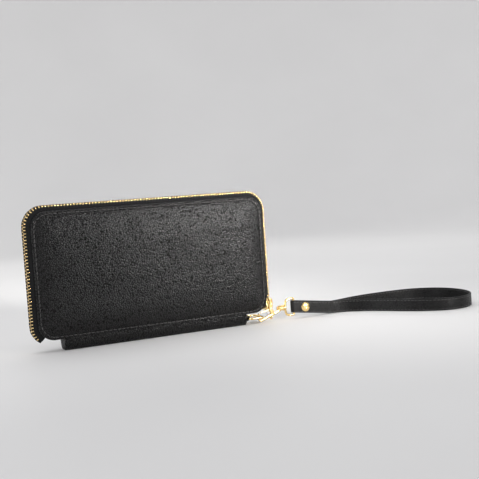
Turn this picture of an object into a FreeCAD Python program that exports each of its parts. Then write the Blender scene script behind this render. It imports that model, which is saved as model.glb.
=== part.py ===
"""Wristlet wallet: a zip-around leather wallet standing on its spine, with a clip-on wrist strap.

Frame: millimetres, X along the wallet, -Y is the front, +Z is up, and the origin is the middle of
the flat underside of the spine.  Each function returns one piece, and the last block writes them.
"""
import FreeCAD, Part
import math
import os

# ---- the two covers -------------------------------------------------------
PANEL_W = 188.0          # width of each cover
PANEL_BOTTOM = 9.1       # lower edge of the covers
PANEL_TOP = 104.4        # upper edge of the covers
TOP_CORNER = 11.5        # radius of the upper corners
BOTTOM_CORNER = 10.5     # radius of the lower corners
COVER_FACE = 8.0         # from the middle plane to the outer face at the border
LEATHER = 1.3            # thickness of the cover leather
CROWN = 2.5              # how far the padded middle stands above the border
BORDER = 3.0             # width of the flat stitched border
BOARD = 0.8
LINING = 0.6
BOARD_INSET = 6.2
LINING_INSET = 0.8

# ---- the spine ------------------------------------------------------------
SPINE_HALF = 75.0        # half the length of the spine band
SPINE_FLAT = 3.5         # half the width of its flat underside
SPINE_LEATHER = 1.4
SPINE_LINING = 0.5
CREASE_GAP = 0.2         # between the spine band and the front cover

# ---- stitches -------------------------------------------------------------
STITCH_INSET = 2.1
STITCH_PITCH = 3.4
STITCH_LENGTH = 2.4
STITCH_WIDTH = 0.55
STITCH_HEIGHT = 0.2

# ---- the long zip round three sides ---------------------------------------
TOOTH_PITCH = 2.39
TOOTH_ALONG = 1.2
TOOTH_IN = 2.0           # from the cover's edge to the inner side of a tooth
TOOTH_OUT = 4.4          # and to its outer side
TOOTH_TIP = 0.6          # half the space between the two rows
TOOTH_ROOT = 3.0         # where a tooth clamps its tape
TAPE_START_DEG = 232.0   # how far the zip runs round the lower left corner
FRONT_ROW_END = 20.8     # the front row stops above the parked slider
BACK_ROW_END = 9.6       # the back row runs on through it
SLIDER_Z = 14.6          # middle of the parked slider
SLIDER_LONG = 10.4
SLIDER_HALF = 4.2
PLATE = 0.8
ZIP_MIDDLE = (TOOTH_IN + TOOTH_OUT) / 2
STOP_ALONG = 1.8         # length of a metal stop along its tape
STOP_IN = 1.2            # from the tape's end to the middle of the stop
STOP_ROOM = 2.3          # the back row's last tooth stays this far from its tape's end
FIRST_TOOTH = 3.2        # from the tape's far end to the front row's first tooth
PULLER_LONG = 14.0

# ---- the inside -----------------------------------------------------------
LEAF = 0.5               # thickness of one card leaf
LEAF_COUNT = 4
LEAF_HALF = 80.0
LEAF_BOTTOM = 14.0
LEAF_TOP = 82.0
LEAF_STEP = 13.0
POCKET_HALF = 88.0
POCKET_BOTTOM = 12.0
POCKET_TOP = 80.0
POCKET_WALL = 0.7
POCKET_GAP = 1.2         # from the middle plane to a wall's inner face
COIN_ZIP_HALF = 74.0
COIN_PITCH = 2.2
COIN_TOOTH_Z = 85.2
COIN_SLIDER_X = 66.0
GUSSET = 0.45

# ---- ring, clip and strap -------------------------------------------------
RING_HINGE_X = 77.5
RING_END_X = 89.5
RING_HALF = 8.0
RING_Z = 5.0
RING_WIRE = 1.0
CLIP_Y = -5.5            # plane of the clip and of the strap's first stretch
SWIVEL_Z = 10.2
EYE_LEFT_X = 111.6
EYE_BAR_X = 119.6
EYE_HALF = 6.8
EYE_WIRE = 0.95
GATE_X = 97.6
GATE_Z = 10.3
STRAP_WIDTH = 10.3
STRAP_THICK = 1.5
LAYER_PITCH = 1.8        # between the layers folded round the eye
FOLD_LIFT = 5.0          # how high the strap stands at the eye
FLOOR_X = 158.0          # where it reaches the ground
TAIL_X = 157.0
RIVET_X = 129.5
RIVET_HEAD = 4.0

# Worked out from the sizes above
SIDE_PIVOT = TOOTH_OUT + 0.3 + PLATE + 1.15             # outer puller's pivot, beyond the cover's edge
COIN_PIVOT = COIN_TOOTH_Z + 1.8 + 0.3 + PLATE + 1.15    # height of the coin puller's pivot
EYE_POST = 1.2           # radius of the swivel's post
EYE_HEAD = 1.8           # radius of its head
RIVET_POST = 1.4
RIVET_Z = STRAP_WIDTH / 2 + FOLD_LIFT * (FLOOR_X - RIVET_X) / (FLOOR_X - EYE_BAR_X)

V = FreeCAD.Vector


# ---- small geometry helpers ----------------------------------------------
def rounded_edges(points, radii, place, closed=True):
    """Straight runs joined by tangent arcs, one arc of the given radius at each corner."""
    count = len(points)
    stops = []
    for i, (x, y) in enumerate(points):
        if radii[i] == 0:
            stops.append(((x, y), None, (x, y)))
            continue
        ax, ay = points[i - 1]
        bx, by = points[(i + 1) % count]
        a = V(ax - x, ay - y, 0).normalize()
        b = V(bx - x, by - y, 0).normalize()
        half = a.getAngle(b) / 2
        reach = radii[i] / math.tan(half)
        middle = (a + b).normalize() * (radii[i] / math.sin(half) - radii[i])
        stops.append(((x + a.x * reach, y + a.y * reach), (x + middle.x, y + middle.y),
                      (x + b.x * reach, y + b.y * reach)))
    edges = []
    for i, (start, middle, end) in enumerate(stops):
        if middle:
            edges.append(Part.Arc(place(*start), place(*middle), place(*end)).toShape())
        following = stops[(i + 1) % count][0]
        if math.dist(end, following) > 1e-6 and (closed or i < count - 1):
            edges.append(Part.LineSegment(place(*end), place(*following)).toShape())
    return edges


def rounded_face(points, radii, place):
    return Part.Face(Part.Wire(rounded_edges(points, radii, place)))


def in_xz(y):
    return lambda x, z: V(x, y, z)


def in_xy(z):
    return lambda x, y: V(x, y, z)


def box(x0, x1, y0, y1, z0, z1):
    low = V(min(x0, x1), min(y0, y1), min(z0, z1))
    return Part.makeBox(abs(x1 - x0), abs(y1 - y0), abs(z1 - z0), low)


def stadium(a, b, width, y0, y1):
    """A bar with round ends between two points of the XZ plane."""
    along = V(b[0] - a[0], 0, b[1] - a[1])
    side = V(-along.z, 0, along.x).normalize() * (width / 2)
    start, end = V(a[0], y0, a[1]), V(b[0], y0, b[1])
    corners = [start + side, end + side, end - side, start - side]
    bar = Part.Face(Part.makePolygon(corners + corners[:1])).extrude(V(0, y1 - y0, 0))
    knobs = [Part.makeCylinder(width / 2, y1 - y0, p, V(0, 1, 0)) for p in (start, end)]
    return bar.multiFuse(knobs).removeSplitter()


def mirrored(shape):
    """The same piece of the other cover."""
    return shape.mirror(V(0, 0, 0), V(0, 1, 0))


def group(solids):
    return Part.makeCompound(solids)


# ---- covers: leather, padding, board, lining ------------------------------
def cover_outline(inset, y):
    """The cover's rounded outline, moved in by inset."""
    half = PANEL_W / 2 - inset
    low, high = PANEL_BOTTOM + inset, PANEL_TOP - inset
    bottom = max(BOTTOM_CORNER - inset, 2.0)
    top = max(TOP_CORNER - inset, 2.0)
    points = [(-half, low), (half, low), (half, high), (-half, high)]
    return Part.Wire(rounded_edges(points, [bottom, bottom, top, top], in_xz(y)))


def cover_plate(inset, y, thickness):
    return Part.Face(cover_outline(inset, y)).extrude(V(0, thickness, 0))


def crown_lens(y):
    """The low dome over the padded field: a loft through shrinking outlines."""
    steps = [(0.0, 0.0), (2.5, 0.34), (8.0, 0.68), (18.0, 0.9), (34.0, 1.0)]
    rings = [cover_outline(BORDER + inset, y - CROWN * share) for inset, share in steps]
    return Part.makeLoft(rings, True, True)


def padding():
    return crown_lens(-COVER_FACE + LEATHER)


def panel():
    plate = cover_plate(0, -COVER_FACE, LEATHER)
    return plate.fuse(crown_lens(-COVER_FACE)).cut(padding())


def board():
    return cover_plate(BOARD_INSET, -COVER_FACE + LEATHER, BOARD)


def lining():
    return cover_plate(LINING_INSET, -COVER_FACE + LEATHER + BOARD, LINING)


def card_leaf(number):
    """One card leaf; leaf 0 is the tallest and lies against the lining."""
    y = -COVER_FACE + LEATHER + BOARD + LINING + number * LEAF
    top = LEAF_TOP - number * LEAF_STEP
    points = [(-LEAF_HALF, LEAF_BOTTOM), (LEAF_HALF, LEAF_BOTTOM), (LEAF_HALF, top), (-LEAF_HALF, top)]
    return rounded_face(points, [1.0, 1.0, 4.0, 4.0], in_xz(y)).extrude(V(0, LEAF, 0))


# ---- pieces carried along the cover's edge --------------------------------
def edge_legs(reach, start_deg, end_z):
    """The way round three sides, reach outside the edge.

    A leg is (kind, corner or starting point, radius, outward angle at its start, sweep or length).
    """
    side = PANEL_W / 2
    low_z, high_z = PANEL_BOTTOM + BOTTOM_CORNER, PANEL_TOP - TOP_CORNER
    low_x, high_x = side - BOTTOM_CORNER, side - TOP_CORNER
    return [
        ("arc", (-low_x, low_z), BOTTOM_CORNER + reach, start_deg, start_deg - 180),
        ("line", (-side - reach, low_z), 0, 180, high_z - low_z),
        ("arc", (-high_x, high_z), TOP_CORNER + reach, 180, 90),
        ("line", (-high_x, PANEL_TOP + reach), 0, 90, 2 * high_x),
        ("arc", (high_x, high_z), TOP_CORNER + reach, 90, 90),
        ("line", (side + reach, high_z), 0, 0, high_z - end_z),
    ]


def outward(degrees):
    return V(math.cos(math.radians(degrees)), 0, math.sin(math.radians(degrees)))


def carry(profile, start_deg, end_z):
    """A closed profile of (distance outside the edge, y) points carried along the cover's edge."""
    spans = []
    for kind, (x, z), radius, angle, amount in edge_legs(0, start_deg, end_z):
        out = outward(angle)
        base = V(x, 0, z) + out * radius
        corners = [base + out * r + V(0, y, 0) for r, y in profile]
        face = Part.Face(Part.makePolygon(corners + corners[:1]))
        if kind == "arc":
            spans.append(face.revolve(V(x, 0, z), V(0, 1, 0), amount))
        else:
            spans.append(face.extrude(outward(angle - 90) * amount))
    return spans[0].multiFuse(spans[1:]).removeSplitter()


def places_along(reach, start_deg, end_z, pitch, shift):
    """Evenly spaced places along the way round, as (point, outward angle)."""
    found = []
    travelled, wanted = 0.0, shift
    for kind, (x, z), radius, angle, amount in edge_legs(reach, start_deg, end_z):
        length = math.radians(amount) * radius if kind == "arc" else amount
        while wanted <= travelled + length - TOOTH_ALONG / 2:
            run = wanted - travelled
            if kind == "arc":
                turned = angle - math.degrees(run / radius)
                found.append((V(x, 0, z) + outward(turned) * radius, turned))
            else:
                found.append((V(x, 0, z) + outward(angle - 90) * run, angle))
            wanted += pitch
        travelled += length
    return found


def zip_tape(end_z):
    """Woven tape: flat between leather and lining, then curving out to the teeth."""
    inner = -COVER_FACE + LEATHER
    profile = [(-5.5, inner), (0.9, inner), (2.6, -5.6), (3.5, -4.2), (3.5, -TOOTH_ROOT),
               (2.9, -TOOTH_ROOT), (2.9, -4.0), (2.1, -5.2), (0.6, inner + 0.6), (-5.5, inner + 0.6)]
    return carry(profile, TAPE_START_DEG, end_z)


def row_block(place, tip, along):
    """A block clamped on the front tape's edge at one place of the row, reaching to y = -tip."""
    point, angle = place
    width = TOOTH_OUT - TOOTH_IN
    block = Part.makeBox(width, TOOTH_ROOT - tip, along, V(-width / 2, -TOOTH_ROOT, -along / 2))
    block.rotate(V(0, 0, 0), V(0, 1, 0), -angle)
    block.translate(point)
    return block


def zip_teeth(end_z, shift):
    """One row of metal teeth, each clamped on the tape's edge."""
    row = places_along(ZIP_MIDDLE, TAPE_START_DEG, end_z, TOOTH_PITCH, shift)
    return group([row_block(place, TOOTH_TIP, TOOTH_ALONG) for place in row])


def cover_stitching():
    """Saddle stitches all round the border, lying on its flat face."""
    stitches = []
    for edge in cover_outline(STITCH_INSET, -COVER_FACE).Edges:
        count = max(1, round(edge.Length / STITCH_PITCH))
        first, last = edge.ParameterRange
        for i in range(count):
            at = first + (last - first) * (i + 0.5) / count
            point, run = edge.valueAt(at), edge.tangentAt(at)
            stitch = Part.makeBox(STITCH_LENGTH, STITCH_HEIGHT, STITCH_WIDTH,
                                  V(-STITCH_LENGTH / 2, -STITCH_HEIGHT, -STITCH_WIDTH / 2))
            stitch.rotate(V(0, 0, 0), V(0, 1, 0), -math.degrees(math.atan2(run.z, run.x)))
            stitch.translate(point)
            stitches.append(stitch)
    return group(stitches)


# ---- spine and its ring tab -----------------------------------------------
def trough(outer, inner, half_length):
    """A U-shaped band along X; each list is (top y, top z, bulge y, bulge z, flat y, flat z)."""
    def run(side, points):
        top_y, top_z, bulge_y, bulge_z, flat_y, flat_z = points
        return [V(-half_length, side * y, z) for y, z in
                ((top_y, top_z), (bulge_y, bulge_z), (flat_y, flat_z))]
    edges = []
    left, right = run(-1, outer), run(1, outer)
    edges.append(Part.Arc(*left).toShape())
    edges.append(Part.LineSegment(left[2], right[2]).toShape())
    edges.append(Part.Arc(*reversed(right)).toShape())
    inner_right, inner_left = run(1, inner), run(-1, inner)
    edges.append(Part.LineSegment(right[0], inner_right[0]).toShape())
    edges.append(Part.Arc(*inner_right).toShape())
    edges.append(Part.LineSegment(inner_right[2], inner_left[2]).toShape())
    edges.append(Part.Arc(*reversed(inner_left)).toShape())
    edges.append(Part.LineSegment(inner_left[0], left[0]).toShape())
    return Part.Face(Part.Wire(edges)).extrude(V(2 * half_length, 0, 0))


def spine():
    """The leather band under both covers, a little short of their front crease."""
    band = trough((COVER_FACE, PANEL_BOTTOM, 6.85, 3.2, SPINE_FLAT, 0.0),
                  (COVER_FACE - SPINE_LEATHER, PANEL_BOTTOM, 5.65, 4.1, 2.9, SPINE_LEATHER), SPINE_HALF)
    front = box(-SPINE_HALF - 1, SPINE_HALF + 1, -COVER_FACE - 1, 0, PANEL_BOTTOM - CREASE_GAP, PANEL_BOTTOM + 1)
    return band.cut(front)


def spine_lining():
    face = COVER_FACE - SPINE_LEATHER
    return trough((face - 0.05, 8.6, 5.6, 4.2, 2.85, SPINE_LEATHER + 0.05),
                  (face - 0.05 - SPINE_LINING, 8.6, 5.1, 4.6, 2.65, SPINE_LEATHER + 0.05 + SPINE_LINING),
                  SPINE_HALF - 1)


def ring_tab():
    """A leather loop glued inside the spine's right end; it holds the ring's straight side."""
    hole = RING_WIRE + 0.1
    thick = 1.2
    start = SPINE_HALF - 9
    outer = stadium((start, RING_Z), (RING_HINGE_X, RING_Z), 2 * (hole + thick), -3.4, 3.4)
    trimmed = outer.cut(box(start - 9, start, -4, 4, 0, 12))
    slot = stadium((start + 5, RING_Z), (RING_HINGE_X, RING_Z), 2 * hole, -4, 4)
    return trimmed.cut(slot)


def zip_stops():
    """The metal stops at the back row's two ends, clamped on the back tape."""
    radius = BOTTOM_CORNER + ZIP_MIDDLE
    far_deg = TAPE_START_DEG - math.degrees(STOP_IN / radius)
    corner = V(BOTTOM_CORNER - PANEL_W / 2, 0, PANEL_BOTTOM + BOTTOM_CORNER)
    near = (V(PANEL_W / 2 + ZIP_MIDDLE, 0, BACK_ROW_END + STOP_IN), 0)
    far = (corner + outward(far_deg) * radius, far_deg)
    return mirrored(group([row_block(near, TOOTH_TIP, STOP_ALONG), row_block(far, -0.4, STOP_ALONG)]))


# ---- zip sliders and their pullers ----------------------------------------
def zip_slider(length, half, inner, outer, tape_low, tape_high, tip, root, post_side):
    """A slider on a chain along X whose teeth stand up along Z: two plates, rims and a post."""
    low = box(-length / 2, length / 2, -half, half, inner - 0.3 - PLATE, inner - 0.3)
    high = box(-length / 2, length / 2, -half, half, outer + 0.3, outer + 0.3 + PLATE)
    solids = [high]
    for side in (-1, 1):
        rim_in, rim_out = side * (root + 0.3), side * half
        solids.append(box(-length / 2, length / 2, rim_in, rim_out, tape_high + 0.3, outer + 0.3))
        solids.append(box(-length / 2, length / 2, rim_in, rim_out, inner - 0.3, tape_low - 0.3))
    solids.append(box(post_side * (length / 2 - 2.2), post_side * length / 2, -tip + 0.2, tip - 0.2,
                      inner - 0.3, outer + 0.3))
    top = outer + 0.3 + PLATE
    for side in (-1, 1):
        solids.append(box(side * 3.1, side * 4.1, -0.8, 0.8, top, top + 2.3))
    solids.append(box(-4.1, 4.1, -0.8, 0.8, top + 2.3, top + 3.2))
    return low.multiFuse(solids).removeSplitter()


def zip_puller(pivot_height, length, half):
    """A flat tab whose crossbar passes under the slider's bridge; it lies along -X."""
    points = [(0.6, -half), (0.6, half), (-length, half * 0.75), (-length, -half * 0.75)]
    z = pivot_height - 0.6
    plate = rounded_face(points, [0.6, 0.6, 1.2, 1.2], in_xy(z)).extrude(V(0, 0, 1.2))
    window = box(-5.4, -0.6, -1.3, 1.3, z - 1, z + 2.2)
    eyelet = Part.makeCylinder(0.9, 3, V(-length + 2.4, 0, z - 1))
    return plate.cut(window).cut(eyelet)


def onto_side(shape):
    """Turns a piece made on a chain along X so that it sits on the right-hand side of the wallet."""
    turned = shape.copy()
    turned.rotate(V(0, 0, 0), V(0, 1, 0), -90)
    turned.rotate(V(0, 0, 0), V(0, 0, 1), 180)
    turned.translate(V(PANEL_W / 2, 0, SLIDER_Z))
    return turned


def side_slider():
    return onto_side(zip_slider(SLIDER_LONG, SLIDER_HALF, TOOTH_IN, TOOTH_OUT, 2.9, 3.5,
                                TOOTH_TIP, TOOTH_ROOT, -1))


def side_puller():
    return onto_side(zip_puller(SIDE_PIVOT, PULLER_LONG, 2.6))


# ---- coin pocket -----------------------------------------------------------
def pocket_wall():
    points = [(-POCKET_HALF, POCKET_BOTTOM), (POCKET_HALF, POCKET_BOTTOM),
              (POCKET_HALF, POCKET_TOP), (-POCKET_HALF, POCKET_TOP)]
    y = -POCKET_GAP - POCKET_WALL
    return rounded_face(points, [3, 3, 3, 3], in_xz(y)).extrude(V(0, POCKET_WALL, 0))


def pocket_binding():
    """The folded strip that closes the pocket's bottom edge."""
    y = POCKET_GAP + POCKET_WALL
    return box(-POCKET_HALF + 4, POCKET_HALF - 4, -y, y, POCKET_BOTTOM - 1.2, POCKET_BOTTOM)


def pocket_lining():
    """A thin cloth bag between the two walls."""
    outer = box(-POCKET_HALF + 2, POCKET_HALF - 2, -POCKET_GAP, POCKET_GAP, POCKET_BOTTOM, POCKET_TOP - 1)
    inner = box(-POCKET_HALF + 2.4, POCKET_HALF - 2.4, -POCKET_GAP + 0.35, POCKET_GAP - 0.35,
                POCKET_BOTTOM + 0.35, POCKET_TOP)
    return outer.cut(inner)


def coin_zip_tape():
    """Tape that flares from the wall's top edge and turns in to the coin zip's teeth."""
    y = POCKET_GAP + POCKET_WALL
    section = [(-y, POCKET_TOP), (-4.0, 83.4), (-4.0, 85.4), (-1.7, 85.9), (-1.7, 86.3),
               (-4.4, 85.9), (-4.4, 83.2), (-y - 0.5, POCKET_TOP)]
    corners = [V(-COIN_ZIP_HALF - 6, a, b) for a, b in section]
    face = Part.Face(Part.makePolygon(corners + corners[:1]))
    return face.extrude(V(2 * COIN_ZIP_HALF + 12, 0, 0))


def coin_zip_teeth():
    teeth = []
    count = int(2 * COIN_ZIP_HALF / COIN_PITCH)
    for i in range(count):
        for side, shift in ((-1, 0.0), (1, COIN_PITCH / 2)):
            x = -COIN_ZIP_HALF + i * COIN_PITCH + shift
            teeth.append(box(x, x + 1.0, side * 0.5, side * 1.7, COIN_TOOTH_Z, COIN_TOOTH_Z + 1.8))
    return group(teeth)


def coin_zip_stops():
    stops = []
    for side in (-1, 1):
        x = side * (COIN_ZIP_HALF + 2.5)
        stops.append(box(x - 0.8, x + 0.8, -1.7, 1.7, COIN_TOOTH_Z, COIN_TOOTH_Z + 1.8))
    return group(stops)


def coin_slider():
    slider = zip_slider(8.6, 3.2, COIN_TOOTH_Z, COIN_TOOTH_Z + 1.8, COIN_TOOTH_Z + 0.5,
                        COIN_TOOTH_Z + 1.1, 0.5, 1.7, 1)
    slider.translate(V(COIN_SLIDER_X, 0, 0))
    return slider


def coin_puller():
    puller = zip_puller(COIN_PIVOT, 12.0, 2.4)
    puller.translate(V(COIN_SLIDER_X, 0, 0))
    return puller


def gusset(side):
    """A folded V of soft leather between the front lining and the pocket, at one end."""
    lining_y = -COVER_FACE + LEATHER + BOARD + LINING
    wall_y = -POCKET_GAP - POCKET_WALL
    middle = (lining_y + wall_y) / 2
    x_edge, x_fold, x_wall = 91.0, 83.0, 87.0
    fold = [(x_edge, lining_y), (x_fold, middle), (x_wall, wall_y), (x_wall, wall_y - GUSSET),
            (x_fold + 1.4, middle), (x_edge, lining_y + GUSSET)]
    corners = [V(side * x, y, 18.0) for x, y in fold]
    return Part.Face(Part.makePolygon(corners + corners[:1])).extrude(V(0, 0, 60.0))


# ---- ring, clip and swivel eye --------------------------------------------
def spine_ring():
    """Rectangular ring lying level; its near side turns in the spine's tab."""
    points = [(RING_HINGE_X, 0), (RING_HINGE_X, -RING_HALF), (RING_END_X, -RING_HALF),
              (RING_END_X, RING_HALF), (RING_HINGE_X, RING_HALF)]
    path = Part.Wire(rounded_edges(points, [0, 1.6, 2.6, 2.6, 1.6], in_xy(RING_Z)))
    section = Part.Wire(Part.makeCircle(RING_WIRE, V(RING_HINGE_X, 0, RING_Z), V(0, 1, 0)))
    return path.makePipeShell([section], True, True)


def hook_body():
    """The clip's body: nose, sloping arm, two ears for the gate and the swivel's barrel."""
    y0, y1 = CLIP_Y - 1.0, CLIP_Y + 1.0
    nose = stadium((86.7, 3.0), (86.7, 7.3), 1.5, y0, y1)
    foot = stadium((86.7, 3.0), (88.6, 2.0), 1.7, y0, y1)
    arm = stadium((88.6, 2.0), (106.4, 8.6), 2.3, y0, y1)
    ear_bar = stadium((GATE_X + 2.0, 7.0), (GATE_X, GATE_Z), 3.2, y0 - 0.1, y1 + 0.1)
    barrel = Part.makeCylinder(2.4, 4.6, V(105.6, CLIP_Y, SWIVEL_Z), V(1, 0, 0))
    body = arm.multiFuse([nose, foot, ear_bar, barrel])
    slot = box(80, GATE_X + 4, CLIP_Y - 0.6, CLIP_Y + 0.6, 8.0, 20)
    bore = Part.makeCylinder(EYE_POST + 0.08, 8, V(104, CLIP_Y, SWIVEL_Z), V(1, 0, 0))
    head_room = Part.makeCylinder(EYE_HEAD + 0.25, 2.4, V(103.2, CLIP_Y, SWIVEL_Z), V(1, 0, 0))
    pin_bore = Part.makeCylinder(0.6, 4, V(GATE_X, CLIP_Y - 2, GATE_Z), V(0, 1, 0))
    return body.cut(slot).cut(bore).cut(head_room).cut(pin_bore).removeSplitter()


def hook_gate():
    """The sprung gate that closes the clip, with the thumb lever standing up from it."""
    y0, y1 = CLIP_Y - 0.5, CLIP_Y + 0.5
    bar = stadium((88.5, 8.6), (GATE_X, GATE_Z), 1.5, y0, y1)
    lever = stadium((GATE_X, GATE_Z), (95.9, 16.6), 1.4, y0, y1)
    boss = Part.makeCylinder(1.4, y1 - y0, V(GATE_X, y0, GATE_Z), V(0, 1, 0))
    hole = Part.makeCylinder(0.65, 4, V(GATE_X, CLIP_Y - 2, GATE_Z), V(0, 1, 0))
    return bar.multiFuse([lever, boss]).cut(hole).removeSplitter()


def gate_pin():
    return Part.makeCylinder(0.6, 2.6, V(GATE_X, CLIP_Y - 1.3, GATE_Z), V(0, 1, 0))


def gate_spring():
    """The small spring under the gate, close to its pin."""
    return Part.makeCylinder(0.5, 3.25, V(94.4, CLIP_Y, 5.65), V(0, 0, 1))


def swivel_eye():
    """The eye the strap is folded through, with the headed post that turns in the barrel."""
    low, high = SWIVEL_Z - EYE_HALF, SWIVEL_Z + EYE_HALF
    points = [(EYE_BAR_X, SWIVEL_Z), (EYE_BAR_X, high), (EYE_LEFT_X, high),
              (EYE_LEFT_X, low), (EYE_BAR_X, low)]
    path = Part.Wire(rounded_edges(points, [0, 1.5, 5.2, 5.2, 1.5], in_xz(CLIP_Y)))
    section = Part.Wire(Part.makeCircle(EYE_WIRE, V(EYE_BAR_X, CLIP_Y, SWIVEL_Z), V(0, 0, 1)))
    loop = path.makePipeShell([section], True, True)
    post = Part.makeCylinder(EYE_POST, EYE_LEFT_X - 104.2, V(104.2, CLIP_Y, SWIVEL_Z), V(1, 0, 0))
    head = Part.makeCylinder(EYE_HEAD, 1.3, V(104.0, CLIP_Y, SWIVEL_Z), V(1, 0, 0))
    return loop.multiFuse([post, head]).removeSplitter()


# ---- strap -----------------------------------------------------------------
def route():
    """The strap's line seen from above: tail end, fold round the eye, loop, and back to the fold."""
    front, back = CLIP_Y - LAYER_PITCH, CLIP_Y + LAYER_PITCH
    fold_x = EYE_BAR_X - LAYER_PITCH
    return [(TAIL_X, front), (fold_x, front), (fold_x, back), (158, back), (186, 6.5), (216, 10.5),
            (249, 8.5), (269, -9), (273.5, -34), (265, -58), (246, -73), (224, -70), (204, -49),
            (186, -22), (167, CLIP_Y), (122.8, CLIP_Y)]


def route_radii(points):
    """The radius of each bend: the fold's own, and elsewhere as large as the two runs allow."""
    radii = [0.0]
    for before, here, after in zip(points, points[1:], points[2:]):
        a = V(here[0] - before[0], here[1] - before[1], 0)
        b = V(after[0] - here[0], after[1] - here[1], 0)
        shorter = min(a.Length, b.Length)
        radii.append(0.48 * shorter / math.tan(a.getAngle(b) / 2))
    radii[1] = radii[2] = LAYER_PITCH
    return radii + [0.0]


def moved_aside(points, radii, aside):
    """The same line with every run moved to its left by aside."""
    moved, bends = [], []
    for i, (x, y) in enumerate(points):
        before = points[max(i - 1, 0)]
        after = points[min(i + 1, len(points) - 1)]
        a = V(x - before[0], y - before[1], 0)
        b = V(after[0] - x, after[1] - y, 0)
        a = b if a.Length == 0 else a
        b = a if b.Length == 0 else b
        left_a = V(-a.y, a.x, 0).normalize()
        left_b = V(-b.y, b.x, 0).normalize()
        shift = (left_a + left_b) * (aside / (1 + left_a.dot(left_b)))
        turns_left = a.x * b.y - a.y * b.x > 0
        moved.append((x + shift.x, y + shift.y))
        bends.append(0.0 if radii[i] == 0 else radii[i] - aside if turns_left else radii[i] + aside)
    return moved, bends


def wrist_strap():
    """One leather strip on its edge, raised at the eye and down on the ground along the loop."""
    points = route()
    radii = route_radii(points)
    left, left_radii = moved_aside(points, radii, STRAP_THICK / 2)
    right, right_radii = moved_aside(points, radii, -STRAP_THICK / 2)
    outline = rounded_face(left + right[::-1], left_radii + right_radii[::-1], in_xy(-1))
    strip = outline.extrude(V(0, 0, STRAP_WIDTH + FOLD_LIFT + 4))
    rise = FOLD_LIFT / (FLOOR_X - EYE_BAR_X)
    start_x = EYE_BAR_X - 6
    lift = rise * (FLOOR_X - start_x)
    side = [(start_x, lift), (FLOOR_X, 0), (300, 0), (300, STRAP_WIDTH), (FLOOR_X, STRAP_WIDTH),
            (start_x, lift + STRAP_WIDTH)]
    corners = [V(x, -100, z) for x, z in side]
    shadow = Part.Face(Part.makePolygon(corners + corners[:1])).extrude(V(0, 140, 0))
    hole = Part.makeCylinder(RIVET_POST, 12, V(RIVET_X, CLIP_Y - 6, RIVET_Z), V(0, 1, 0))
    return strip.common(shadow).cut(hole)


def rivet_cap():
    """The domed brass head on the strap's front."""
    face = CLIP_Y - LAYER_PITCH - STRAP_THICK / 2
    rim = Part.makeCylinder(RIVET_HEAD, 0.5, V(RIVET_X, face - 0.5, RIVET_Z), V(0, 1, 0))
    ball_radius = 6.2
    centre = V(RIVET_X, face - 1.6 + ball_radius, RIVET_Z)
    ball = Part.makeSphere(ball_radius, centre)
    slab = Part.makeCylinder(RIVET_HEAD - 0.2, 1.2, V(RIVET_X, face - 1.7, RIVET_Z), V(0, 1, 0))
    return rim.fuse(ball.common(slab)).removeSplitter()


def rivet_back():
    """The flat back head and the post through the three layers."""
    front = CLIP_Y - LAYER_PITCH - STRAP_THICK / 2
    back = CLIP_Y + LAYER_PITCH + STRAP_THICK / 2
    head = Part.makeCylinder(RIVET_HEAD - 0.4, 0.8, V(RIVET_X, back, RIVET_Z), V(0, 1, 0))
    post = Part.makeCylinder(RIVET_POST, back - front, V(RIVET_X, front, RIVET_Z), V(0, 1, 0))
    return head.fuse(post).removeSplitter()


def all_nodes():
    """Every piece by name; the back cover is the front cover's mirror image."""
    nodes = {
        "spine": spine(),
        "spine_lining": spine_lining(),
        "ring_tab": ring_tab(),
        "zip_stops": zip_stops(),
        "coin_pocket_front_wall": pocket_wall(),
        "coin_pocket_back_wall": mirrored(pocket_wall()),
        "coin_pocket_binding": pocket_binding(),
        "coin_pocket_lining": pocket_lining(),
        "coin_zip_front_tape": coin_zip_tape(),
        "coin_zip_back_tape": mirrored(coin_zip_tape()),
        "coin_zip_teeth": coin_zip_teeth(),
        "coin_zip_stops": coin_zip_stops(),
        "coin_zip_slider": coin_slider(),
        "coin_zip_puller": coin_puller(),
        "zip_slider": side_slider(),
        "zip_puller": side_puller(),
        "spine_ring": spine_ring(),
        "hook_body": hook_body(),
        "hook_gate": hook_gate(),
        "gate_pin": gate_pin(),
        "gate_spring": gate_spring(),
        "swivel_eye": swivel_eye(),
        "wrist_strap": wrist_strap(),
        "rivet_cap": rivet_cap(),
        "rivet_back": rivet_back(),
    }
    back_first = FIRST_TOOTH + TOOTH_PITCH / 2
    for cover, turned, end_z, room, shift in (("front", lambda s: s, FRONT_ROW_END, 0, FIRST_TOOTH),
                                              ("back", mirrored, BACK_ROW_END, STOP_ROOM, back_first)):
        nodes[cover + "_panel"] = turned(panel())
        nodes[cover + "_padding"] = turned(padding())
        nodes[cover + "_board"] = turned(board())
        nodes[cover + "_lining"] = turned(lining())
        nodes[cover + "_zip_tape"] = turned(zip_tape(end_z))
        nodes[cover + "_zip_teeth"] = turned(zip_teeth(end_z + room, shift))
        nodes[cover + "_stitching"] = turned(cover_stitching())
        nodes[cover + "_left_gusset"] = turned(gusset(-1))
        nodes[cover + "_right_gusset"] = turned(gusset(1))
        for number in range(LEAF_COUNT):
            nodes[cover + "_card_leaf_" + str(number + 1)] = turned(card_leaf(number))
    return nodes


os.makedirs("parts", exist_ok=True)
for name, shape in all_nodes().items():
    shape.exportStep("parts/" + name + ".step")
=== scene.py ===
"""Wristlet wallet: the looks of every piece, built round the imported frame."""
import math

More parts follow.
